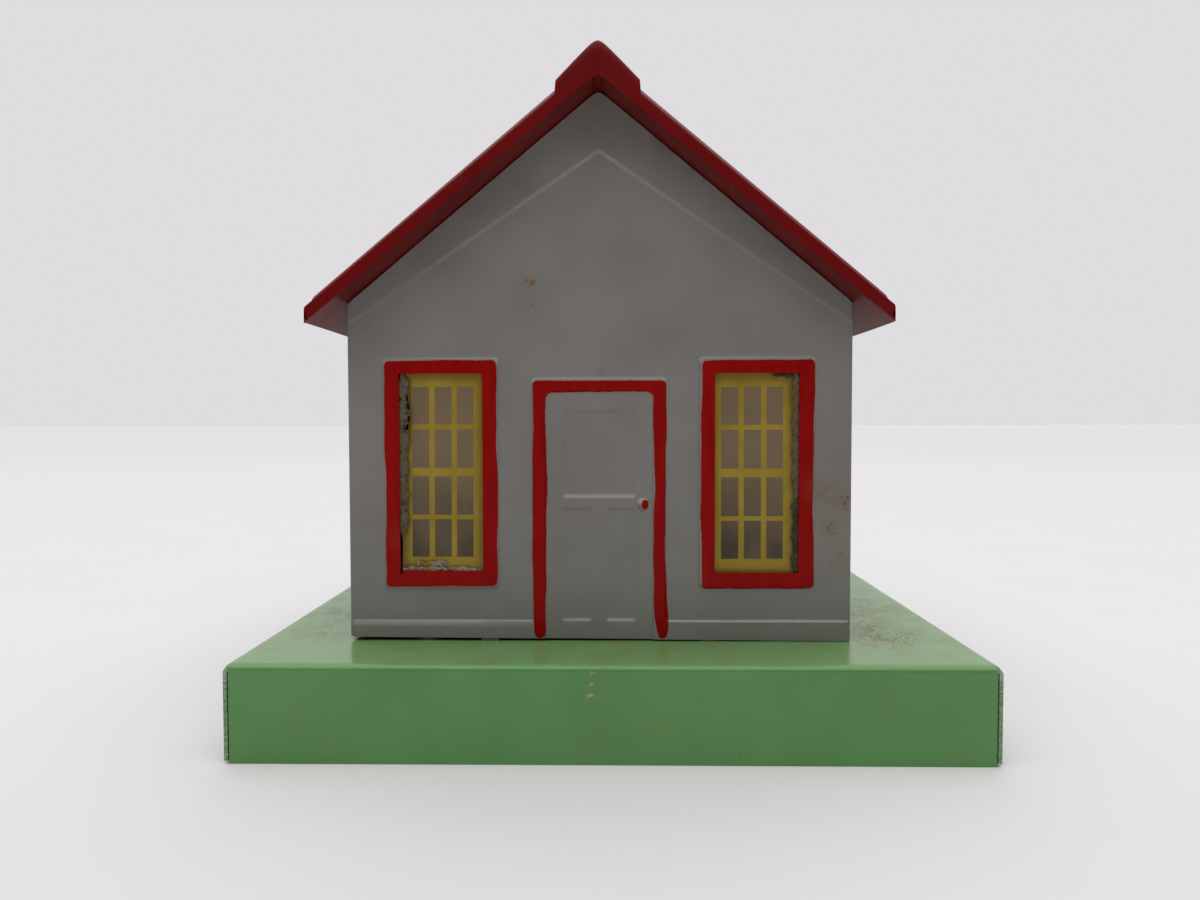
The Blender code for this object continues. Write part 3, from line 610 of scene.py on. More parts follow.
# %% Sizes of the pressed walls, heights above the base
WINDOW_W, WINDOW_H, WINDOW_SILL = 24.0, 57.2, 20.0
SURROUND = 4.2                     # width of the raised band round a window
DOOR_W, DOOR_H, DOOR_BAND = 30.5, 72.0, 3.6
KNOB = (12.6, 39.7, 1.7, 1.0)      # x, height, radius, how far out
SKIRTING_H = 5.85
SHOULDER = 0.55                    # width of the soft edge of a band
LINE_AT_RIDGE = 140.3              # the pressed gable line, at the ridge and at the corners
LINE_AT_CORNER = 91.5
LINE_W = 1.8
LINE_RISE = 0.45                   # how deep the part above that line is pressed
FAN_FROM = 85.0                    # where the rows stop being level
SKIRTING_RISE = 0.85 * EMBOSS
PANEL_DEPTH, PANEL_SHOULDER = 0.32, 1.2
TAB_W, TAB_X, SIDE_TAB_INSET, ROOF_TAB_X = 4.9, 31.7, 21.6, 40.0
TAB_DROP = 1.6                     # from the base's top to the middle of the tab's foot
TAB_FOOT = 3.0
HOLE_HALF_L = TAB_W / 2 + GAP      # holes that the tabs go through
HOLE_HALF_W = WALL_SHEET / 2 + GAP
GABLE_WINDOW_X = (DOOR_W / 2 + DOOR_BAND + HALF_W) / 2
FRONT_WINDOWS = (-GABLE_WINDOW_X + 0.2, GABLE_WINDOW_X - 0.5)
SIDE_WINDOW_Y = (HALF_D - WALL_BEND - WALL_RETURN) / 2
PANELS = ((-10.2, 10.2, 42.0, 66.5), (-10.4, -2.5, 6.1, 38.3), (2.3, 10.3, 6.1, 38.3))


def wander(along, seed, reach):
    """Slow waver of a hand-painted edge: three sine waves of unrelated lengths."""
    return reach * (0.5 * np.sin(along / 9.1 + seed) + 0.3 * np.sin(along / 4.3 + 2.1 * seed)
                    + 0.2 * np.sin(along / 2.2 + 3.7 * seed))


def window_trim(x, z, middle, laps, seed):
    """Distance to the paint round a window; laps say how far it goes past the opening."""
    left, right, below, above = laps
    along = wander(z, seed, 0.35)
    across = wander(x, seed + 1, 0.25)
    return box_distance(x + along, z + across, middle - WINDOW_W / 2 - left,
                        middle + WINDOW_W / 2 + right, WINDOW_SILL - below,
                        WINDOW_SILL + WINDOW_H + above, 1.4)


def door_trim(x, z):
    """Distance to the paint round the door: an outer shape less an inner one, and a dab."""
    low = np.clip((26.0 - z) / 26.0, 0, 1)
    drift = np.where(x > 0, low ** 2, -0.1 * low)
    along = wander(z, 4.0, 0.3)
    taper = np.clip((7.0 - z) / 7.0, 0, 1) ** 2 * np.sign(x)
    outer = box_distance(x - drift + along + 0.8 * taper, z, -19.1, 19.2, 0.9, 75.2, 1.2)
    inner = box_distance(x - drift + wander(z, 6.0, 0.4) - 0.7 * taper, z + wander(x, 2.0, 0.3),
                         -15.2, 15.7, -20.0, 72.0, 2.0)
    dab = box_distance(x, z, 12.2, 14.2, 38.3, 41.0, 0.95)
    return np.minimum(np.maximum(outer, -inner), dab)


def gable_line(x):
    """Height of the pressed line: straight from the ridge to the corners."""
    share = np.clip(np.abs(x) / (HALF_W - 0.5), 0, 1)
    return LINE_AT_RIDGE - (LINE_AT_RIDGE - LINE_AT_CORNER) * share


def wall_relief(x, z, windows, door, free):
    """How far the pressed wall stands out at x and height z above the base."""
    height = np.zeros(np.broadcast(x, z).shape)
    for middle in windows:
        reach_x, low = WINDOW_W / 2 + SURROUND, WINDOW_SILL - SURROUND
        band = box_distance(x, z, middle - reach_x, middle + reach_x, low,
                            WINDOW_SILL + WINDOW_H + SURROUND, 0.8)
        height = np.maximum(height, EMBOSS * inside_step(band - SHOULDER / 2, SHOULDER))
    skirting = inside_step(z - SKIRTING_H, SHOULDER)
    skirting = skirting * inside_step(np.abs(x) - free - 0.2, 1.0)
    if door:
        edge = DOOR_W / 2 + DOOR_BAND
        outer = box_distance(x, z, -edge, edge, -20, DOOR_H + DOOR_BAND, 0.8)
        inner = box_distance(x, z, -DOOR_W / 2, DOOR_W / 2, -20, DOOR_H, 1.2)
        band = np.maximum(outer - SHOULDER / 2, SHOULDER / 2 - inner)
        skirting = skirting * (1 - inside_step(outer, SHOULDER))
        height = np.maximum(height, EMBOSS * inside_step(band, SHOULDER))
    height = np.maximum(height, SKIRTING_RISE * skirting)
    if door:
        for x0, x1, z0, z1 in PANELS:
            panel = box_distance(x, z, x0, x1, z0, z1, 0.6)
            height = height - PANEL_DEPTH * inside_step(panel, PANEL_SHOULDER)
        radius = np.hypot(x - KNOB[0], z - KNOB[1])
        dome = np.clip(1 - (radius / KNOB[2]) ** 2, 0, 1)
        height = height + (KNOB[3] - 0.15) * np.sqrt(dome)
    return height


def window_quads(along, up, windows):
    """True for quads whose middle lies in a window opening."""
    hole = np.zeros(along.shape, bool)
    for middle in windows:
        hole |= box_distance(along, up, middle - WINDOW_W / 2, middle + WINDOW_W / 2,
                             WINDOW_SILL, WINDOW_SILL + WINDOW_H) < 0
    return hole


def feature_marks(windows, tabs, door):
    """Grid marks along a wall: openings, band edges, tabs, and the door's edges."""
    marks = [m + k for m in windows for k in both([WINDOW_W / 2])]
    marks += near([m + k for m in windows
                   for k in both([WINDOW_W / 2 + SURROUND + SHOULDER / 2])], SHOULDER)
    marks += [t + k for t in tabs for k in both([TAB_W / 2])]
    if door:
        marks += near(both([DOOR_W / 2 + k for k in (SHOULDER / 2, DOOR_BAND + SHOULDER / 2)]),
                      SHOULDER)
        marks += near([p[k] for p in PANELS for k in (0, 1)], PANEL_SHOULDER)
        marks += list(np.linspace(KNOB[0] - KNOB[2], KNOB[0] + KNOB[2], 11))
    return marks


def height_marks(door):
    """Grid marks up a wall: openings, band edges, skirting, and the door's panels."""
    marks = [WINDOW_SILL, WINDOW_SILL + WINDOW_H]
    marks += near([WINDOW_SILL - SURROUND - SHOULDER / 2,
                   WINDOW_SILL + WINDOW_H + SURROUND + SHOULDER / 2], SHOULDER)
    marks += near([SKIRTING_H], SHOULDER)
    if door:
        marks += near([DOOR_H + SHOULDER / 2, DOOR_H + DOOR_BAND + SHOULDER / 2], SHOULDER)
        marks += near([p[k] for p in PANELS for k in (2, 3)], PANEL_SHOULDER)
        marks += list(np.linspace(KNOB[1] - KNOB[2], KNOB[1] + KNOB[2], 11))
    return marks


def wrap_corner(along, half, radius):
    """Wrap a length round both upright corners: place across, depth behind the face, turn."""
    flat = half - radius
    over = np.maximum(np.abs(along) - flat, 0)
    turn = np.clip(over / radius, 0, math.pi / 2)
    across = np.sign(along) * (np.minimum(np.abs(along), flat) + radius * np.sin(turn))
    depth = radius * (1 - np.cos(turn)) + np.maximum(over - radius * math.pi / 2, 0)
    return across, depth, turn


def fold_tab(below, radius=0.7):
    """Tab under a wall: down by its drop, round a quarter turn, and inwards along its foot."""
    drop = TAB_DROP + SEAT_GAP
    down = np.minimum(below, drop - radius)
    turn = np.clip((below - drop + radius) / radius, 0, math.pi / 2)
    past = np.maximum(below - drop + radius - radius * math.pi / 2, 0)
    return down + radius * np.sin(turn), radius * (1 - np.cos(turn)) + past


def pressed_wall(name, gable, door, foot, laps, rust, grime, quarters):
    """Make one wall on the front side, then turn it into place by quarter turns."""
    if gable:
        face, half, windows = -HALF_D, HALF_W, (-GABLE_WINDOW_X, GABLE_WINDOW_X)
        windows = FRONT_WINDOWS if door else windows
        tabs, free = (-TAB_X, TAB_X), HALF_W - WALL_BEND
        reach = half - WALL_BEND + WALL_BEND * math.pi / 2 + WALL_RETURN
        bend = half - WALL_BEND
        corner = both([bend + WALL_BEND * math.pi / 2 * k / 8 for k in range(9)])
        step = 1.0
    else:
        face, half, windows = -SIDE_FACE, 1e6, (-SIDE_WINDOW_Y, SIDE_WINDOW_Y)
        side_tab = HALF_D - SIDE_TAB_INSET
        tabs, free = (-side_tab, side_tab), HALF_D - WALL_BEND - WALL_RETURN - GAP
        reach, corner, step = SIDE_END, near([-free + 0.5, free - 0.5], 2.0), 1.3
    lines = grid_lines(-reach, reach, step, feature_marks(windows, tabs, door) + corner)
    level_rows = grid_lines(SEAT_GAP, FAN_FROM, step, height_marks(door))
    fan = np.linspace(0, 1, 33)[1:]
    band = np.linspace(-1, 1, 9) * LINE_W / 2
    top_rows = np.linspace(0, 1, 9)[1:]
    tab_rows = np.linspace(TAB_DROP + SEAT_GAP + TAB_FOOT, 0, 13)[:-1]

    across, depth, turn = wrap_corner(lines, half, WALL_BEND)
    base = BASE_TOP
    roof = roof_line(across if gable else np.full_like(across, SIDE_FACE - WALL_SHEET)) - base
    foot_line = foot[0] + (foot[1] - foot[0]) * (across + HALF_W) / (2 * HALF_W)
    a = across[:, None]
    rows = [foot_line[:, None] + (level_rows - SEAT_GAP) * (FAN_FROM - foot_line[:, None])
            / (FAN_FROM - SEAT_GAP)]
    if gable:
        line = gable_line(a)
        rows.append(FAN_FROM + fan[:-1] * (line - LINE_W / 2 - FAN_FROM))
        rows.append(line + band)
        rows.append(line + LINE_W / 2 + top_rows * (roof[:, None] - line - LINE_W / 2))
    else:
        rows.append(FAN_FROM + fan[3::4] * (roof[:, None] - FAN_FROM))
    z = np.hstack(rows)
    relief = wall_relief(a, z, windows, door, free)
    if gable:
        relief = relief - LINE_RISE * inside_step(line - z, LINE_W)
    relief = relief * np.cos(turn)[:, None] ** 2
    # painted highlight: how steeply the relief steps up going upwards; the wall finish paints these
    # steps pale
    ledge = np.clip(-np.gradient(relief, axis=1) / np.gradient(z, axis=1) / 0.28, 0, 1)

    down, inward = fold_tab(tab_rows)
    tab_z = foot_line[:, None] - down
    z = np.hstack([tab_z, z])
    back = np.hstack([np.broadcast_to(inward, tab_z.shape), np.zeros_like(relief)])
    relief = np.hstack([np.zeros_like(tab_z), relief])
    ledge = np.hstack([np.zeros_like(tab_z), ledge])
    side = np.sign(lines)[:, None] * np.sin(turn)[:, None]
    points = np.stack([a + relief * side,
                       face + depth[:, None] + back - relief * np.cos(turn)[:, None],
                       base + z], axis=-1)

    middle_x = middles(np.broadcast_to(a, z.shape))
    middle_z = middles(z)
    keep = ~window_quads(middle_x, middle_z, windows)
    in_tab = np.min([np.abs(middle_x - t) for t in tabs], axis=0) < TAB_W / 2
    keep[:, :len(tab_rows)] &= in_tab[:, :len(tab_rows)]

    trim = np.min([window_trim(a, z, m, lap, seed)
                   for m, lap, seed in zip(windows, laps, (0.4, 2.7))], axis=0)
    if door:
        trim = np.minimum(trim, door_trim(a, z))
    shell = Shell()
    shell.add(points, grid_quads(z.shape, keep), WALL_SHEET, trim=trim,
              ledge=ledge, rust=spots(a, z, rust), grime=spots(a, z, grime))
    shell.turn(quarters)
    piece = shell.piece(name + "_pressed", wall_finish)
    return show(piece, "house", "wall_grey", name)


# %% Make the four walls
# Each spot is (x, height above the base, size, strength).
front_rust = ((-20.6, 103.1, 2.3, 0.52), (-18.6, 103.0, 0.9, 0.6), (-19.6, 97.0, 3.0, 0.33),
              (-19.5, 91.5, 1.6, 0.38), (19.3, 88.1, 4.5, 0.30), (-45.0, 84.5, 2.0, 0.35),
              (23.5, 31.0, 2.2, 0.30), (64.5, 44.0, 6.0, 0.40), (66.0, 33.0, 3.5, 0.44),
              (68.5, 24.0, 7.0, 0.36), (71.0, 40.0, 3.5, 0.38), (1.0, 77.6, 1.6, 0.45),
              (18.0, 143.4, 1.5, 0.5), (27.0, 135.2, 1.2, 0.5),
              (-7.5, 103.0, 1.0, 0.40), (6.0, 112.0, 5.0, 0.22), (-60.0, 30.0, 6.0, 0.20))
# The small spots beside rust and along the gable line are grime; the wide ones high on the gable,
# under the ridge and at the upper corners are painted shade under the roof's overhang.
front_grime_and_shade = ((66.5, 42.0, 9.0, 0.42), (-35.0, 124.0, 9.0, 0.30), (-45.0, 112.0, 8.0, 0.35),
               (-22.0, 131.0, 7.0, 0.30), (22.0, 137.5, 8.0, 0.30), (18.0, 143.2, 2.2, 1.2),
               (21.5, 140.4, 1.4, 1.0), (26.5, 135.8, 1.6, 1.0), (30.5, 132.4, 1.2, 0.8),
               (0.0, 146.0, 12.0, 0.30), (39.5, 124.8, 1.2, 0.7), (-23.0, 139.4, 1.5, 0.8),
               (62.0, 92.0, 8.0, 0.25),
               (0.0, 150.0, 14.0, 0.45), (-66.0, 90.0, 8.0, 0.25), (18.0, 87.0, 6.0, 0.30),
               (-20.0, 100.0, 6.0, 0.25), (-60.0, 28.0, 10.0, 0.10))
other_rust = ((-12.0, 88.0, 2.2, 0.8), (20.0, 66.0, 2.8, 0.5), (60.0, 30.0, 2.4, 0.6),
              (-62.0, 12.0, 3.0, 0.6), (8.0, 12.0, 2.6, 0.5), (-5.0, 52.0, 1.6, 0.6))
# The wide spot along the tops of the walls is painted shade under the eaves; the others are grime.
other_grime_and_shade = ((0.0, 92.0, 22.0, 0.30), (-58.0, 8.0, 14.0, 0.35), (40.0, 6.0, 18.0, 0.30),
               (12.0, 60.0, 12.0, 0.22))
even_laps = ((3.9, 3.9, 4.0, 3.8), (3.9, 3.9, 4.0, 3.8))
pressed_wall("front_wall", True, True, (1.15, 0.15), ((4.1, 4.2, 4.1, 3.9), (3.9, 4.2, 4.7, 3.8)),
             front_rust, front_grime_and_shade, 0)
pressed_wall("rear_wall", True, False, (0.5, 0.5), even_laps, other_rust, other_grime_and_shade, 2)
pressed_wall("left_wall", False, False, (0.5, 0.5), even_laps, other_rust, other_grime_and_shade, -1)
pressed_wall("right_wall", False, False, (0.5, 0.5), even_laps, other_rust[::-1], other_grime_and_shade, 1)

# %% [markdown]
# ## Roof skin
#
# The roof is a second blank: a raised field with a narrow border, a ridge cap, upright lips along
# the eaves and a deeper fascia at each gable. As a formula it is one height over the floor plan,
# and past the edges the same grid simply turns downwards. The coin slot is a hole along the ridge
# with its metal turned down into a collar, so that coins do not catch on a raw edge.

# %% Roof skin
BORDER_RISE = 4.95                 # fascia's top above the line of the wall tops, upright
FIELD_RISE, FIELD_BORDER, FIELD_SHOULDER = 1.3, 1.3, 1.3
EAVE_BORDER = 1.7
CAP_HALF, CAP_STEP, CAP_WALL = 11.7, 1.7, 0.25
CAP_SLOPE = math.tan(math.radians(42.7))
CAP_ROUND = 1.5
EDGE_R = 0.7                       # radius of the bends along fascias and eaves
LIP_END = 1.6                      # eave lips end this far above the line of the wall tops
SLOT_W, SLOT_L = 5.0, 36.0
COLLAR_FOOT = 1.9                  # end of the slot's collar above the ridge of the wall tops


def roof_height(x, y):
    """Top of the skin: slope, raised field inside its border, and the ridge cap over both."""
    far = np.abs(x)
    edge = np.minimum(ROOF_Y - FIELD_BORDER - np.abs(y), ROOF_HALF - EAVE_BORDER - far)
    rise = np.sqrt(1 - (1 - np.clip(edge / FIELD_SHOULDER, 0, 1)) ** 2)
    plain = APEX - SLOPE * far + BORDER_RISE + FIELD_RISE * rise
    shoulder = APEX - SLOPE * CAP_HALF + BORDER_RISE + FIELD_RISE + CAP_STEP
    peak = shoulder + CAP_SLOPE * CAP_HALF
    rounded = np.sqrt(far ** 2 + CAP_ROUND ** 2) - CAP_ROUND
    cap = peak - rounded * (peak - shoulder) / (math.hypot(CAP_HALF, CAP_ROUND) - CAP_ROUND)
    share = np.clip((CAP_HALF - far) / CAP_WALL, 0, 1)
    return plain + (cap - plain) * share


def roof_skin():
    """One grid over field, cap, eave lips and fascias, and a collar in the coin slot."""
    pitch = ROOF_PITCH
    start = ROOF_HALF - EDGE_R + EDGE_R * math.sin(pitch)
    arc_end = start + EDGE_R * (math.pi / 2 - pitch)
    corner_z = roof_height(start, 0.0) - EDGE_R * math.cos(pitch)
    lip_low = APEX - SLOPE * ROOF_HALF + LIP_END
    reach = arc_end + corner_z - lip_low
    cap_marks = both([CAP_HALF + k for k in (-0.9, -CAP_WALL - 0.12, -CAP_WALL,
                                             -CAP_WALL / 2, 0, 0.12, 0.6)])
    round_over = [FIELD_SHOULDER * k for k in (0, 0.04, 0.12, 0.25, 0.42, 0.65, 1.0)]
    field_marks = both([ROOF_HALF - EAVE_BORDER - k for k in round_over])
    ridge = list(np.linspace(-3, 3, 13)) + both([SLOT_W / 2])
    arcs = both([start + (arc_end - start) * k / 4 for k in range(5)])
    u = grid_lines(-reach, reach, 1.6, cap_marks + field_marks + ridge + arcs)

    flat_y = ROOF_Y - EDGE_R
    fold = flat_y + EDGE_R * math.pi / 2
    lip_rows = both([fold + k for k in (0.25, 0.5, 0.75, 1.0)])
    bends = both([flat_y + EDGE_R * math.pi / 2 * k / 4 for k in range(5)])
    field_y = both([ROOF_Y - FIELD_BORDER - k for k in round_over])
    v = grid_lines(-fold - 1, fold + 1, 2.2, both([SLOT_L / 2]) + lip_rows + bends + field_y)

    U, V = np.meshgrid(u, v, indexing="ij")
    far = np.abs(U)
    turn_x = np.clip(pitch + (far - start) / EDGE_R, pitch, math.pi / 2)
    x = np.where(far <= start, far, ROOF_HALF - EDGE_R + EDGE_R * np.sin(turn_x)) * np.sign(U)
    turn_y = np.clip((np.abs(V) - flat_y) / EDGE_R, 0, math.pi / 2)
    y = np.sign(V) * (np.minimum(np.abs(V), flat_y) + EDGE_R * np.sin(turn_y))
    top = roof_height(np.minimum(far, start), y)
    lip = np.maximum(far - arc_end, 0)
    at_edge = np.where(turn_y > 0, roof_height(np.minimum(far, start), ROOF_Y * np.sign(V)), top)
    edge_z = np.where(far > start, corner_z + (at_edge - roof_height(start, 0.0))
                      + EDGE_R * np.cos(turn_x) - lip, at_edge)
    sink = EDGE_R * (1 - np.cos(turn_y)) * (1 - np.clip(lip / 0.5, 0, 1))
    hang = np.clip(np.abs(V) - fold, 0, 1)
    low = roof_line(x) + LINER_GAP
    z = (edge_z - sink) * (1 - hang) + low * hang
    middle_u, middle_v = middles(far), middles(np.abs(V))
    keep = ~((middle_u > arc_end) & (middle_v > fold))
    keep &= ~((middle_u < SLOT_W / 2) & (middle_v < SLOT_L / 2))
    inner_edge = np.minimum(ROOF_Y - FIELD_BORDER - np.abs(V), ROOF_HALF - EAVE_BORDER - far)
    # painted highlight: a narrow band just inside the edge of the raised field, painted pale pink
    # by the roof finish
    rubbed = np.exp(-((inner_edge - 0.5) / 0.35) ** 2) * (far > CAP_HALF)
    shell = Shell()
    shell.add(np.stack([x, y, z], axis=-1), grid_quads(U.shape, keep), ROOF_SHEET, rubbed=rubbed)

    loop = slot_loop()
    rows = np.linspace(0, 1, 6)
    inner = loop[:, None, :] * np.ones((1, 6, 1))
    top_z = roof_height(loop[:, 0], loop[:, 1])[:, None]
    z = top_z - 0.02 + (APEX + COLLAR_FOOT - top_z) * rows
    collar = np.dstack([inner, z[:, :, None]])
    quads = grid_quads(collar.shape[:2])
    shell.add(collar, quads[:, ::-1], -ROOF_SHEET, rubbed=np.zeros(collar.shape[:2]))
    piece = shell.piece("roof_skin_pressed", roof_finish, 40)
    return show(piece, "house", "roof_red", "roof_skin")


def slot_loop():
    """Closed loop round the coin slot, counted anticlockwise from its front right corner."""
    half_w, half_l = SLOT_W / 2, SLOT_L / 2
    corners = np.array([(half_w, -half_l), (half_w, half_l), (-half_w, half_l),
                        (-half_w, -half_l), (half_w, -half_l)])
    share = np.linspace(0, 1, 9)[:-1, None]
    runs = [a + (b - a) * share for a, b in zip(corners, corners[1:])]
    return np.vstack(runs + [corners[:1]])


roof_skin()

# %% [markdown]
# ## Roof liner
#
# Under the skin lies a plain folded sheet. It closes the eaves from below. In the real box it
# holds the house together, because the tabs of the gable walls go up through it; here it has the
# holes for them, while the walls have tabs only at their feet. It is a shallow upside-down V with
# a soft crease along the ridge, four tab holes and a slot for the coins punched in it.

# %% Roof liner


def roof_liner():
    """Folded sheet under the skin, with holes for the wall tabs and the coins."""
    half_y = ROOF_Y - ROOF_SHEET - GAP
    crease = list(np.linspace(-2.4, 2.4, 17))
    hole_x = both([ROOF_TAB_X + k for k in both([HOLE_HALF_L])])
    hole_y = both([HALF_D - WALL_SHEET / 2 + k for k in both([HOLE_HALF_W])])
    slot_x, slot_y = SLOT_W / 2 + ROOF_SHEET, SLOT_L / 2 + ROOF_SHEET
    u = grid_lines(-LINER_HALF, LINER_HALF, 2.5, crease + hole_x + both([slot_x]))
    v = grid_lines(-half_y, half_y, 4.0, hole_y + both([slot_y]))
    U, V = np.meshgrid(u, v, indexing="ij")
    rise = LINER_GAP + ROOF_SHEET / math.cos(ROOF_PITCH)
    groove = 0.25 * np.exp(-((np.abs(U) - 1.3) / 0.3) ** 2)
    sway = 0.18 * np.sin(V / 23.0 + np.sign(U)) * np.clip((np.abs(U) - 60) / 20, 0, 1)
    Z = roof_line(U) + rise + groove + sway
    mu, mv = middles(U), middles(V)
    in_tab = np.abs(np.abs(mu) - ROOF_TAB_X) < HOLE_HALF_L
    in_tab &= np.abs(np.abs(mv) - HALF_D + WALL_SHEET / 2) < HOLE_HALF_W
    keep = ~in_tab & ~((np.abs(mu) < slot_x) & (np.abs(mv) < slot_y))
    shell = Shell()
    shell.add(np.stack([U, V, Z], axis=-1), grid_quads(U.shape, keep), ROOF_SHEET)
    piece = shell.piece("roof_liner_folded", soffit_finish, 40)
    return show(piece, "house", "roof_red", "roof_liner")


roof_liner()

# %% [markdown]
# ## Base pan
#
# The base is a shallow pan, upside down: a flat top, bends all round, and four flanges. The front
# and rear flanges stop just short of the side ones, which leaves a dark slit at every corner. On
# the grid a bend is a quarter turn on either direction, and where two bends cross they make the
# small rounded corner that a press leaves.

# %% Base pan
PAN_SHEET, PAN_BEND, SLIT, SIDE_LIFT = 1.0, 1.8, 0.35, 0.8
TRAP_W, TRAP_L = 50.0, 40.0
trap_high = span("trap_door")[1]
pin_low, pin_high = span("hinge_pin")


def fold_down(along, half):
    """Place across and drop of a sheet that turns down at both edges, and its turn."""
    over = np.maximum(np.abs(along) - (half - PAN_BEND), 0)
    turn = np.clip(over / PAN_BEND, 0, math.pi / 2)
    place = np.sign(along) * (np.minimum(np.abs(along), half - PAN_BEND)
                              + PAN_BEND * np.sin(turn))
    return place, np.maximum(over - PAN_BEND * math.pi / 2, 0), turn


def base_pan():
    """Folded pan with its slits, tab holes and trap opening, and the marks for dirt, wear and the
    painted light on its top.
    """
    half = pan_high[0]
    quarter = PAN_BEND * math.pi / 2
    flat = half - PAN_BEND
    deep = BASE_TOP - PAN_BEND
    bends = both([flat + quarter * k / 8 for k in range(9)])
    slit_at = flat + PAN_BEND * math.asin((half - PAN_SHEET - SLIT - flat) / PAN_BEND)
    flange = both([flat + quarter + deep * k / 12 for k in range(1, 13)])
    marks = bends + flange + both([slit_at])
    long_way, short_way = both([HOLE_HALF_L]), both([HOLE_HALF_W])
    side_tab_x = SIDE_FACE - WALL_SHEET / 2
    side_tab_y = HALF_D - SIDE_TAB_INSET
    gable_tab_y = HALF_D - WALL_SHEET / 2
    xs = both([TAB_X + k for k in long_way] + [side_tab_x + k for k in short_way] + [TRAP_W / 2])
    ys = both([side_tab_y + k for k in long_way] + [gable_tab_y + k for k in short_way]
              + [TRAP_L / 2])
    reach = flat + quarter + deep
    u = grid_lines(-reach, reach, 1.8, marks + [x + HOUSE_X for x in xs])
    v = grid_lines(-reach, reach, 1.8, marks + ys)
    U, V = np.meshgrid(u, v, indexing="ij")
    x, drop_x, turn_x = fold_down(U, half)
    y, drop_y, turn_y = fold_down(V, half)
    top = BASE_TOP - PAN_BEND + PAN_BEND * np.cos(turn_x) * np.cos(turn_y)
    side_scale = (deep - SIDE_LIFT) / deep
    z = top - drop_x * side_scale - drop_y
    belly = 0.12 * np.cos(np.clip(x / half, -1, 1) * math.pi / 2) * np.clip(drop_y / deep, 0, 1)
    y = y + np.sign(V) * -belly

    mu, mv = middles(np.abs(U)), middles(np.abs(V))
    edge = flat + quarter
    keep = ~((mu > edge) & (mv > edge))
    keep &= ~((mv > edge) & (mu > slit_at))
    mx, my = middles(U) - HOUSE_X, middles(V)
    keep &= ~((np.abs(mx) < TRAP_W / 2) & (np.abs(my) < TRAP_L / 2))
    keep &= ~((np.abs(np.abs(mx) - TAB_X) < HOLE_HALF_L)
              & (np.abs(np.abs(my) - gable_tab_y) < HOLE_HALF_W))
    keep &= ~((np.abs(np.abs(my) - side_tab_y) < HOLE_HALF_L)
              & (np.abs(np.abs(mx) - side_tab_x) < HOLE_HALF_W))

    from_house = box_distance(x - HOUSE_X, y, -HALF_W, HALF_W, -HALF_D, HALF_D, 2.0)
    on_top = np.cos(turn_x) * np.cos(turn_y)
    sides = np.clip((np.abs(x - HOUSE_X) - HALF_W) / 10, 0, 1)
    near_wall = np.exp(-np.maximum(from_house, 0) / 6.0)
    # painted light: the share of the pan that faces up, which the base finish paints paler
    faded = np.clip(on_top, 0, 1) ** 3
    wide = np.exp(-np.maximum(from_house, 0) / 15.0)
    dirt = on_top * (0.10 + 0.30 * near_wall + sides * (0.12 + 0.62 * wide))
    dirt = dirt + on_top * spots(x, y, ((30.0, -92.0, 16.0, 0.22), (60.0, -86.0, 12.0, 0.25),
                                        (84.0, -70.0, 14.0, 0.30), (-86.0, -40.0, 16.0, 0.22),
                                        (88.0, -30.0, 16.0, 0.30), (-10.0, -86.0, 14.0, 0.14)))
    tips = np.exp(-(((half - np.abs(x)) ** 2 + (half - np.abs(y)) ** 2
                     + (z - BASE_TOP + 1.5) ** 2) / 1.5 ** 2))
    scuffs = spots(x, z, ((-4.4, 24.4, 1.1, 0.8), (-4.6, 21.4, 1.2, 0.75), (-5.2, 18.4, 1.3, 0.8),
                          (-8.4, 21.4, 0.9, 0.7), (-84.0, 12.5, 0.9, 0.5),
                          (38.0, 22.5, 2.2, 0.35), (44.0, 14.0, 2.0, 0.3), (96.0, 6.5, 1.0, 0.5)))
    worn_edge = np.exp(-((half - np.abs(x)) / 0.25) ** 2) * (np.abs(y) > half - 1.6)
    wear = 0.95 * tips + 0.5 * worn_edge + np.where(y < -half + 2.5, scuffs, 0.0)
    shell = Shell()
    shell.add(np.stack([x, y, z], axis=-1), grid_quads(U.shape, keep), PAN_SHEET, dirt=dirt,
              wear=wear, faded=faded)
    for side in (-1, 1):
        hinge_ear(shell, side)
    piece = shell.piece("base_pan_pressed", base_finish, 40, shift=False)
    return show(piece, "house", "base_green", "base_pan")


def hinge_ear(shell, side):
    """Bent-down ear beside the hinge: rings from the pin's hole out to a round-ended outline."""
    axis_y = (pin_low[1] + pin_high[1]) / 2
    axis_z = (pin_low[2] + pin_high[2]) / 2
    wide, hole = 2.7, 1.3
    turn = np.linspace(0, 2 * math.pi, 41)
    c, s = np.cos(turn), np.sin(turn)
    top = BASE_TOP - PAN_SHEET + 0.15 - axis_z
    reach = np.minimum(np.where(s > 0, top / np.maximum(s, 1e-6), 1e6),
                       wide / np.maximum(np.abs(c), 1e-6))
    outline = np.where(s > 0, reach, wide)
    share = np.linspace(0, 1, 4)[:, None]
    radius = hole + (outline - hole) * share
    face = side * (trap_high[0] - HOUSE_X + 0.3 + PAN_SHEET)
    points = np.stack([np.full_like(radius, HOUSE_X + face), axis_y + radius * c,
                       axis_z + radius * s], axis=-1)
    quads = grid_quads(radius.shape)
    if side < 0:
        quads = quads[:, ::-1]
    zero = np.zeros(radius.size)
    shell.add(points, quads, PAN_SHEET, dirt=zero, wear=zero, faded=zero)


base_pan()

# %% [markdown]
# ## Window films
#
# Eight pieces of printed film hang behind the openings, held by blobs of glue. They have shrunk
# and curled over the years, so each one is a gently bowed sheet that was stuck in a little askew.
# The print goes with the sheet, because the distances to its panes are stored on the points.

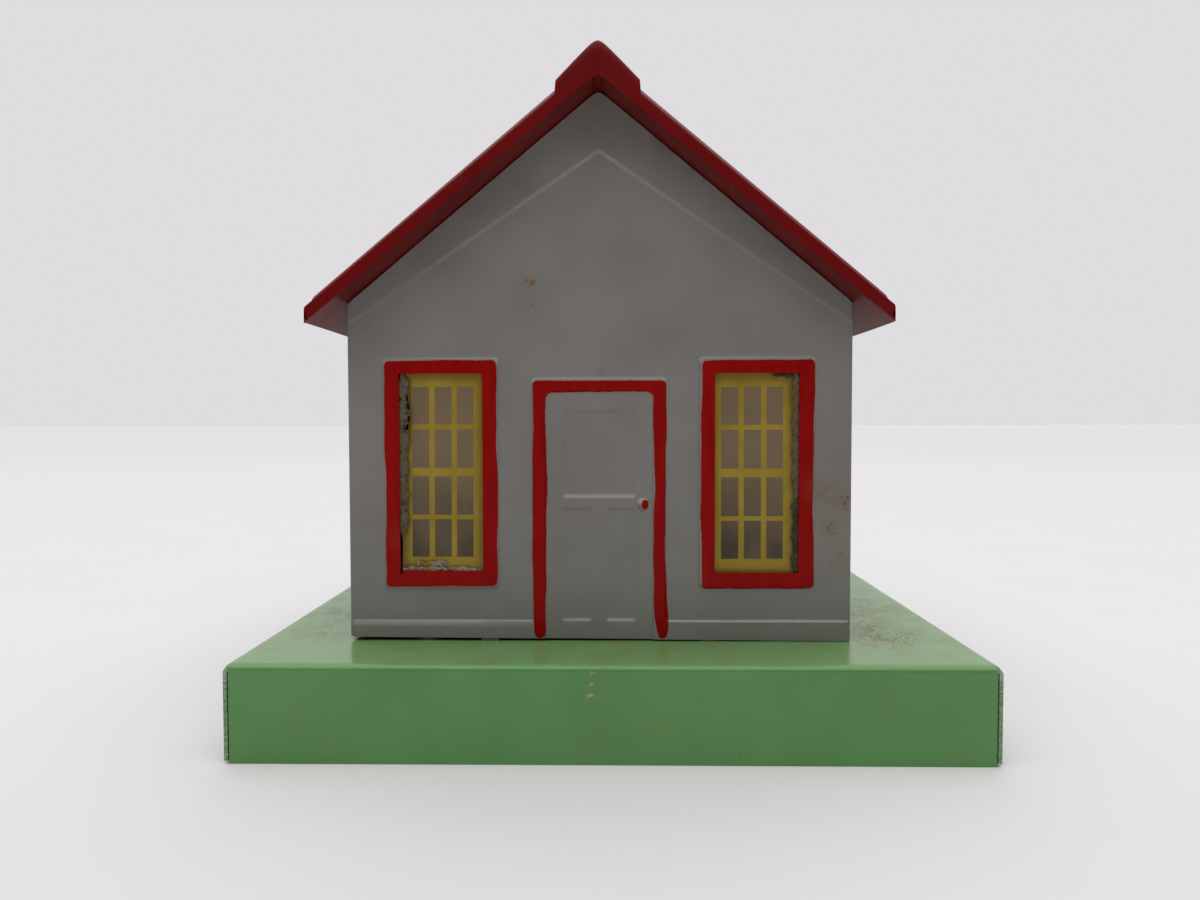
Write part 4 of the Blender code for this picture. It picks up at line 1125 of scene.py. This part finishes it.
# %% Window films
FILM_T, FILM_MARGIN = 0.25, 3.0    # thickness, and how far a film laps behind the wall
PANE_COLUMNS = ((-8.7, -3.7), (-2.1, 2.8), (4.35, 9.1))
PANE_ROWS = ((4.2, 15.2), (16.5, 27.7), (30.2, 41.3), (42.7, 53.5))


def nearest_span(values, spans):
    """Distance to the nearest of several intervals, negative inside one."""
    return np.min([np.maximum(low - values, values - high) for low, high in spans], axis=0)


def pane_marks(spans):
    """Grid marks where the distance to the panes has a kink: edges, middles, and between."""
    between = [(a[1] + b[0]) / 2 for a, b in zip(spans, spans[1:])]
    return between + [k for pair in spans for k in (*pair, sum(pair) / 2)]


def window_film(node_name, quarters, face, middle, placing, curl, seed):
    """A film behind the opening at middle; curl draws its left edge into sight."""
    shift, lift, skew, right_end = placing
    u = grid_lines(-WINDOW_W / 2 - FILM_MARGIN, right_end, 0.9, pane_marks(PANE_COLUMNS))
    v = grid_lines(-FILM_MARGIN, WINDOW_H + FILM_MARGIN, 1.2, pane_marks(PANE_ROWS))
    U, V = np.meshgrid(u, v, indexing="ij")
    rise = V / WINDOW_H
    pull = curl * (FILM_MARGIN + 0.3 + 0.9 * rise + 1.4 * np.exp(-((V - 45.5) / 6.5) ** 2))
    x = middle + shift + U + skew * (rise - 0.5) + pull * np.clip((-9.0 - U) / 6.0, 0, 1)
    bow = 0.35 + 0.3 * np.sin(V / 17.0 + seed) + 0.2 * np.sin(U / 7.0 + seed * 2)
    bow = bow + curl * 0.9 * np.exp(-((V - 45.5) / 9.0) ** 2) * np.clip((-6.0 - U) / 6.0, 0, 1)
    y = face + WALL_SHEET + GAP + np.maximum(bow, 0)
    z = BASE_TOP + WINDOW_SILL + V + lift * (1.5 - rise)
    column, row = nearest_span(U, PANE_COLUMNS), nearest_span(V, PANE_ROWS)
    rim = np.minimum(np.minimum(U + WINDOW_W / 2, WINDOW_W / 2 - U),
                     np.minimum(V, WINDOW_H - V))
    shell = Shell()
    shell.add(np.stack([x, y, z], axis=-1), grid_quads(U.shape), FILM_T, column=column,
              row=row, rim=rim, height=V / WINDOW_H)
    shell.turn(quarters)
    piece = shell.piece(node_name + "_print", film_finish)
    return show(piece, "house", "window_film", node_name)


sides = (("front", 0, -HALF_D, GABLE_WINDOW_X), ("rear", 2, -HALF_D, GABLE_WINDOW_X),
         ("left", -1, -SIDE_FACE, SIDE_WINDOW_Y), ("right", 1, -SIDE_FACE, SIDE_WINDOW_Y))
seed = 0.3
for side, quarters, face, place in sides:
    for label, middle in (("a", -place), ("b", place)):
        seed += 1.7
        placing = (-1.0 + 0.3 * math.cos(seed * 2), 0.0, 0.3 * math.sin(seed), 15.0)
        curl = 0.0
        if side == "front":
            middle = FRONT_WINDOWS[label == "b"]
            placing = (0.0, 0.0, 0.45, 15.0) if label == "a" else (-1.35, -0.35, -0.1, 12.3)
            curl = 1.0 if label == "a" else 0.0
        window_film("film_%s_%s" % (side, label), quarters, face, middle, placing, curl, seed)

# %% [markdown]
# ## Old glue
#
# Behind the front windows the glue shows: a white and orange crust along the sill of the left
# one, and a dirty strip down the edge of the right one. Below that strip and along the top of the
# right window, near-black strips of the same kind are painted shade in the gap where the film
# stops short. Each is a small lumpy strip whose height is a sum of sine waves, so it is real
# relief and not only colour.

# %% Old glue


def glue_strip(name, start, end, width, seed, skin):
    """Flat crust from start to end, both (x, height above the base), with two ragged edges."""
    start, end = np.array(start), np.array(end)
    length = np.linalg.norm(end - start)
    u = np.linspace(0, 1, max(12, int(length * 4)))
    U, V = np.meshgrid(u, np.linspace(-1, 1, 9), indexing="ij")
    along = U * length
    ragged = 1 + 0.30 * np.sin(along * 0.8 + seed) + 0.25 * np.sin(along * 2.1 + 2 * seed + V)
    ragged = ragged + 0.20 * np.sin(along * 5.3 + 3 * V + seed)
    taper = np.sqrt(np.clip(12 * U * (1 - U), 0, 1))
    axis = (end - start) / length
    middle = start + U[..., None] * (end - start)
    offset = width / 2 * V * ragged * taper
    lumps = 0.10 * np.sin(along * 3.1 + 4 * V + seed) + 0.06 * np.sin(along * 7.7 - 5 * V)
    y = -HALF_D + 0.36 - 0.22 * (1 - V ** 4) * taper - lumps * (1 - V ** 2)
    points = np.stack([middle[..., 0] - axis[1] * offset, y,
                       BASE_TOP + middle[..., 1] + axis[0] * offset], axis=-1)
    shell = Shell()
    flip = axis[0] > abs(axis[1])
    shell.add(points if flip else points[:, ::-1], grid_quads(U.shape), 0.18)
    piece = shell.piece(name, skin, 60)
    return show(piece, "house", "window_film")


left_at, right_at = FRONT_WINDOWS
glue_strip("glue_left_sill", (left_at - 11.6, 20.9), (left_at + 11.6, 20.4), 1.5, 0.6, glue_finish)
glue_strip("glue_left_arch", (left_at - 7.5, 22.2), (left_at + 1.5, 22.4), 1.3, 2.2, glue_finish)
glue_strip("glue_left_edge", (left_at - 11.3, 30.0), (left_at - 10.9, 77.9), 2.7, 4.2, dull_glue)
glue_strip("glue_right_edge", (right_at + 11.4, 40.0), (right_at + 11.3, 77.9), 2.0, 1.9, dull_glue)
# painted shade: near-black strips in the gap where the right film stops short, below its glue and
# along its top
glue_strip("gap_shade_right_low", (right_at + 11.5, 19.5), (right_at + 11.5, 42.0), 2.2, 5.0, gap_shade_crust)
glue_strip("gap_shade_right_top", (right_at + 4.5, 76.7), (right_at + 11.9, 76.5), 1.2, 3.1, gap_shade_crust)

# %% [markdown]
# ## Trap door and lock
#
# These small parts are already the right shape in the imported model: plain plates, pins and turned
# pieces. They keep their meshes and only get their finishes.

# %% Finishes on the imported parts
plain = {"trap_door": base_finish, "hinge_pin": steel_finish, "lock_housing": steel_finish,
         "lock_nut": steel_finish, "lock_cam": steel_finish, "cam_screw": steel_finish,
         "lock_plug": brass_finish}
for name, mat in plain.items():
    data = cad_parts[name].data
    data.materials.clear()
    data.materials.append(mat)
print("finished:", ", ".join(sorted(plain)))

# %% [markdown]
# ## Floor and light
#
# The house stands on a plain pale floor in even studio light. One bright sky would be simplest,
# but a shiny object needs something dark to reflect too. So the light comes from a wide panel
# overhead and a pale wall behind, and the viewer's side is dim. Seen directly, it is plain and
# pale all round.

# %% Floor and light


def pale_floor():
    """Wide pale floor that can be seen through from below."""
    mesh = bpy.data.meshes.new("floor")
    reach = 12.0
    mesh.from_pydata([(-reach, -reach, 0), (reach, -reach, 0), (reach, reach, 0),
                      (-reach, reach, 0)], [], [(0, 1, 2, 3)])
    floor = bpy.data.objects.new("floor", mesh)
    bpy.context.scene.collection.objects.link(floor)
    tree = new_finish("pale_floor")
    place = millimetres(tree)
    tone = blend(tree, noise(tree, place, 60.0, 4.0, 0.6), (0.775, 0.765, 0.77),
                 (0.795, 0.785, 0.79))
    away = node(tree, "VectorMath", place, operation="LENGTH", out="Value")
    tone = blend(tree, ramp(tree, away, 300.0, 3000.0), tone, (0.735, 0.725, 0.74))
    mat = finish("pale_floor", tone, 0.7, [], specular=0.1)
    mesh.materials.append(mat)
    see_through = tree.nodes.new("ShaderNodeBsdfTransparent")
    mix = tree.nodes.new("ShaderNodeMixShader")
    end = next(n for n in tree.nodes if n.type == "OUTPUT_MATERIAL")
    paint = next(n for n in tree.nodes if n.type == "BSDF_PRINCIPLED")
    tree.links.new(node(tree, "NewGeometry", out="Backfacing"), mix.inputs[0])
    tree.links.new(paint.outputs[0], mix.inputs[1])
    tree.links.new(see_through.outputs[0], mix.inputs[2])
    tree.links.new(mix.outputs[0], end.inputs["Surface"])


def studio_sky():
    """Light by direction: panel overhead, pale wall behind, dim on the viewer's side."""
    world = bpy.data.worlds.new("studio")
    bpy.context.scene.world = world
    world.use_nodes = True
    tree = world.node_tree
    shine = tree.nodes["Background"]
    way = node(tree, "TexCoord", out="Generated")
    behind = node(tree, "VectorMath", way, (0.0, 1.0, 0.0), operation="DOT_PRODUCT", out="Value")
    above = node(tree, "VectorMath", way, (0.0, -0.2, 0.98), operation="DOT_PRODUCT", out="Value")
    light = blend(tree, ramp(tree, behind, 0.1, 0.6), (0.09, 0.09, 0.092), (0.74, 0.73, 0.75))
    light = blend(tree, ramp(tree, above, 0.60, 0.90), light, (2.02, 1.99, 2.00))
    seen = node(tree, "LightPath", out="Is Camera Ray")
    colour = blend(tree, seen, light, (0.735, 0.72, 0.745))
    tree.links.new(colour, shine.inputs["Color"])
    shine.inputs["Strength"].default_value = 1.0


pale_floor()
studio_sky()
bpy.context.scene.view_settings.view_transform = "Standard"
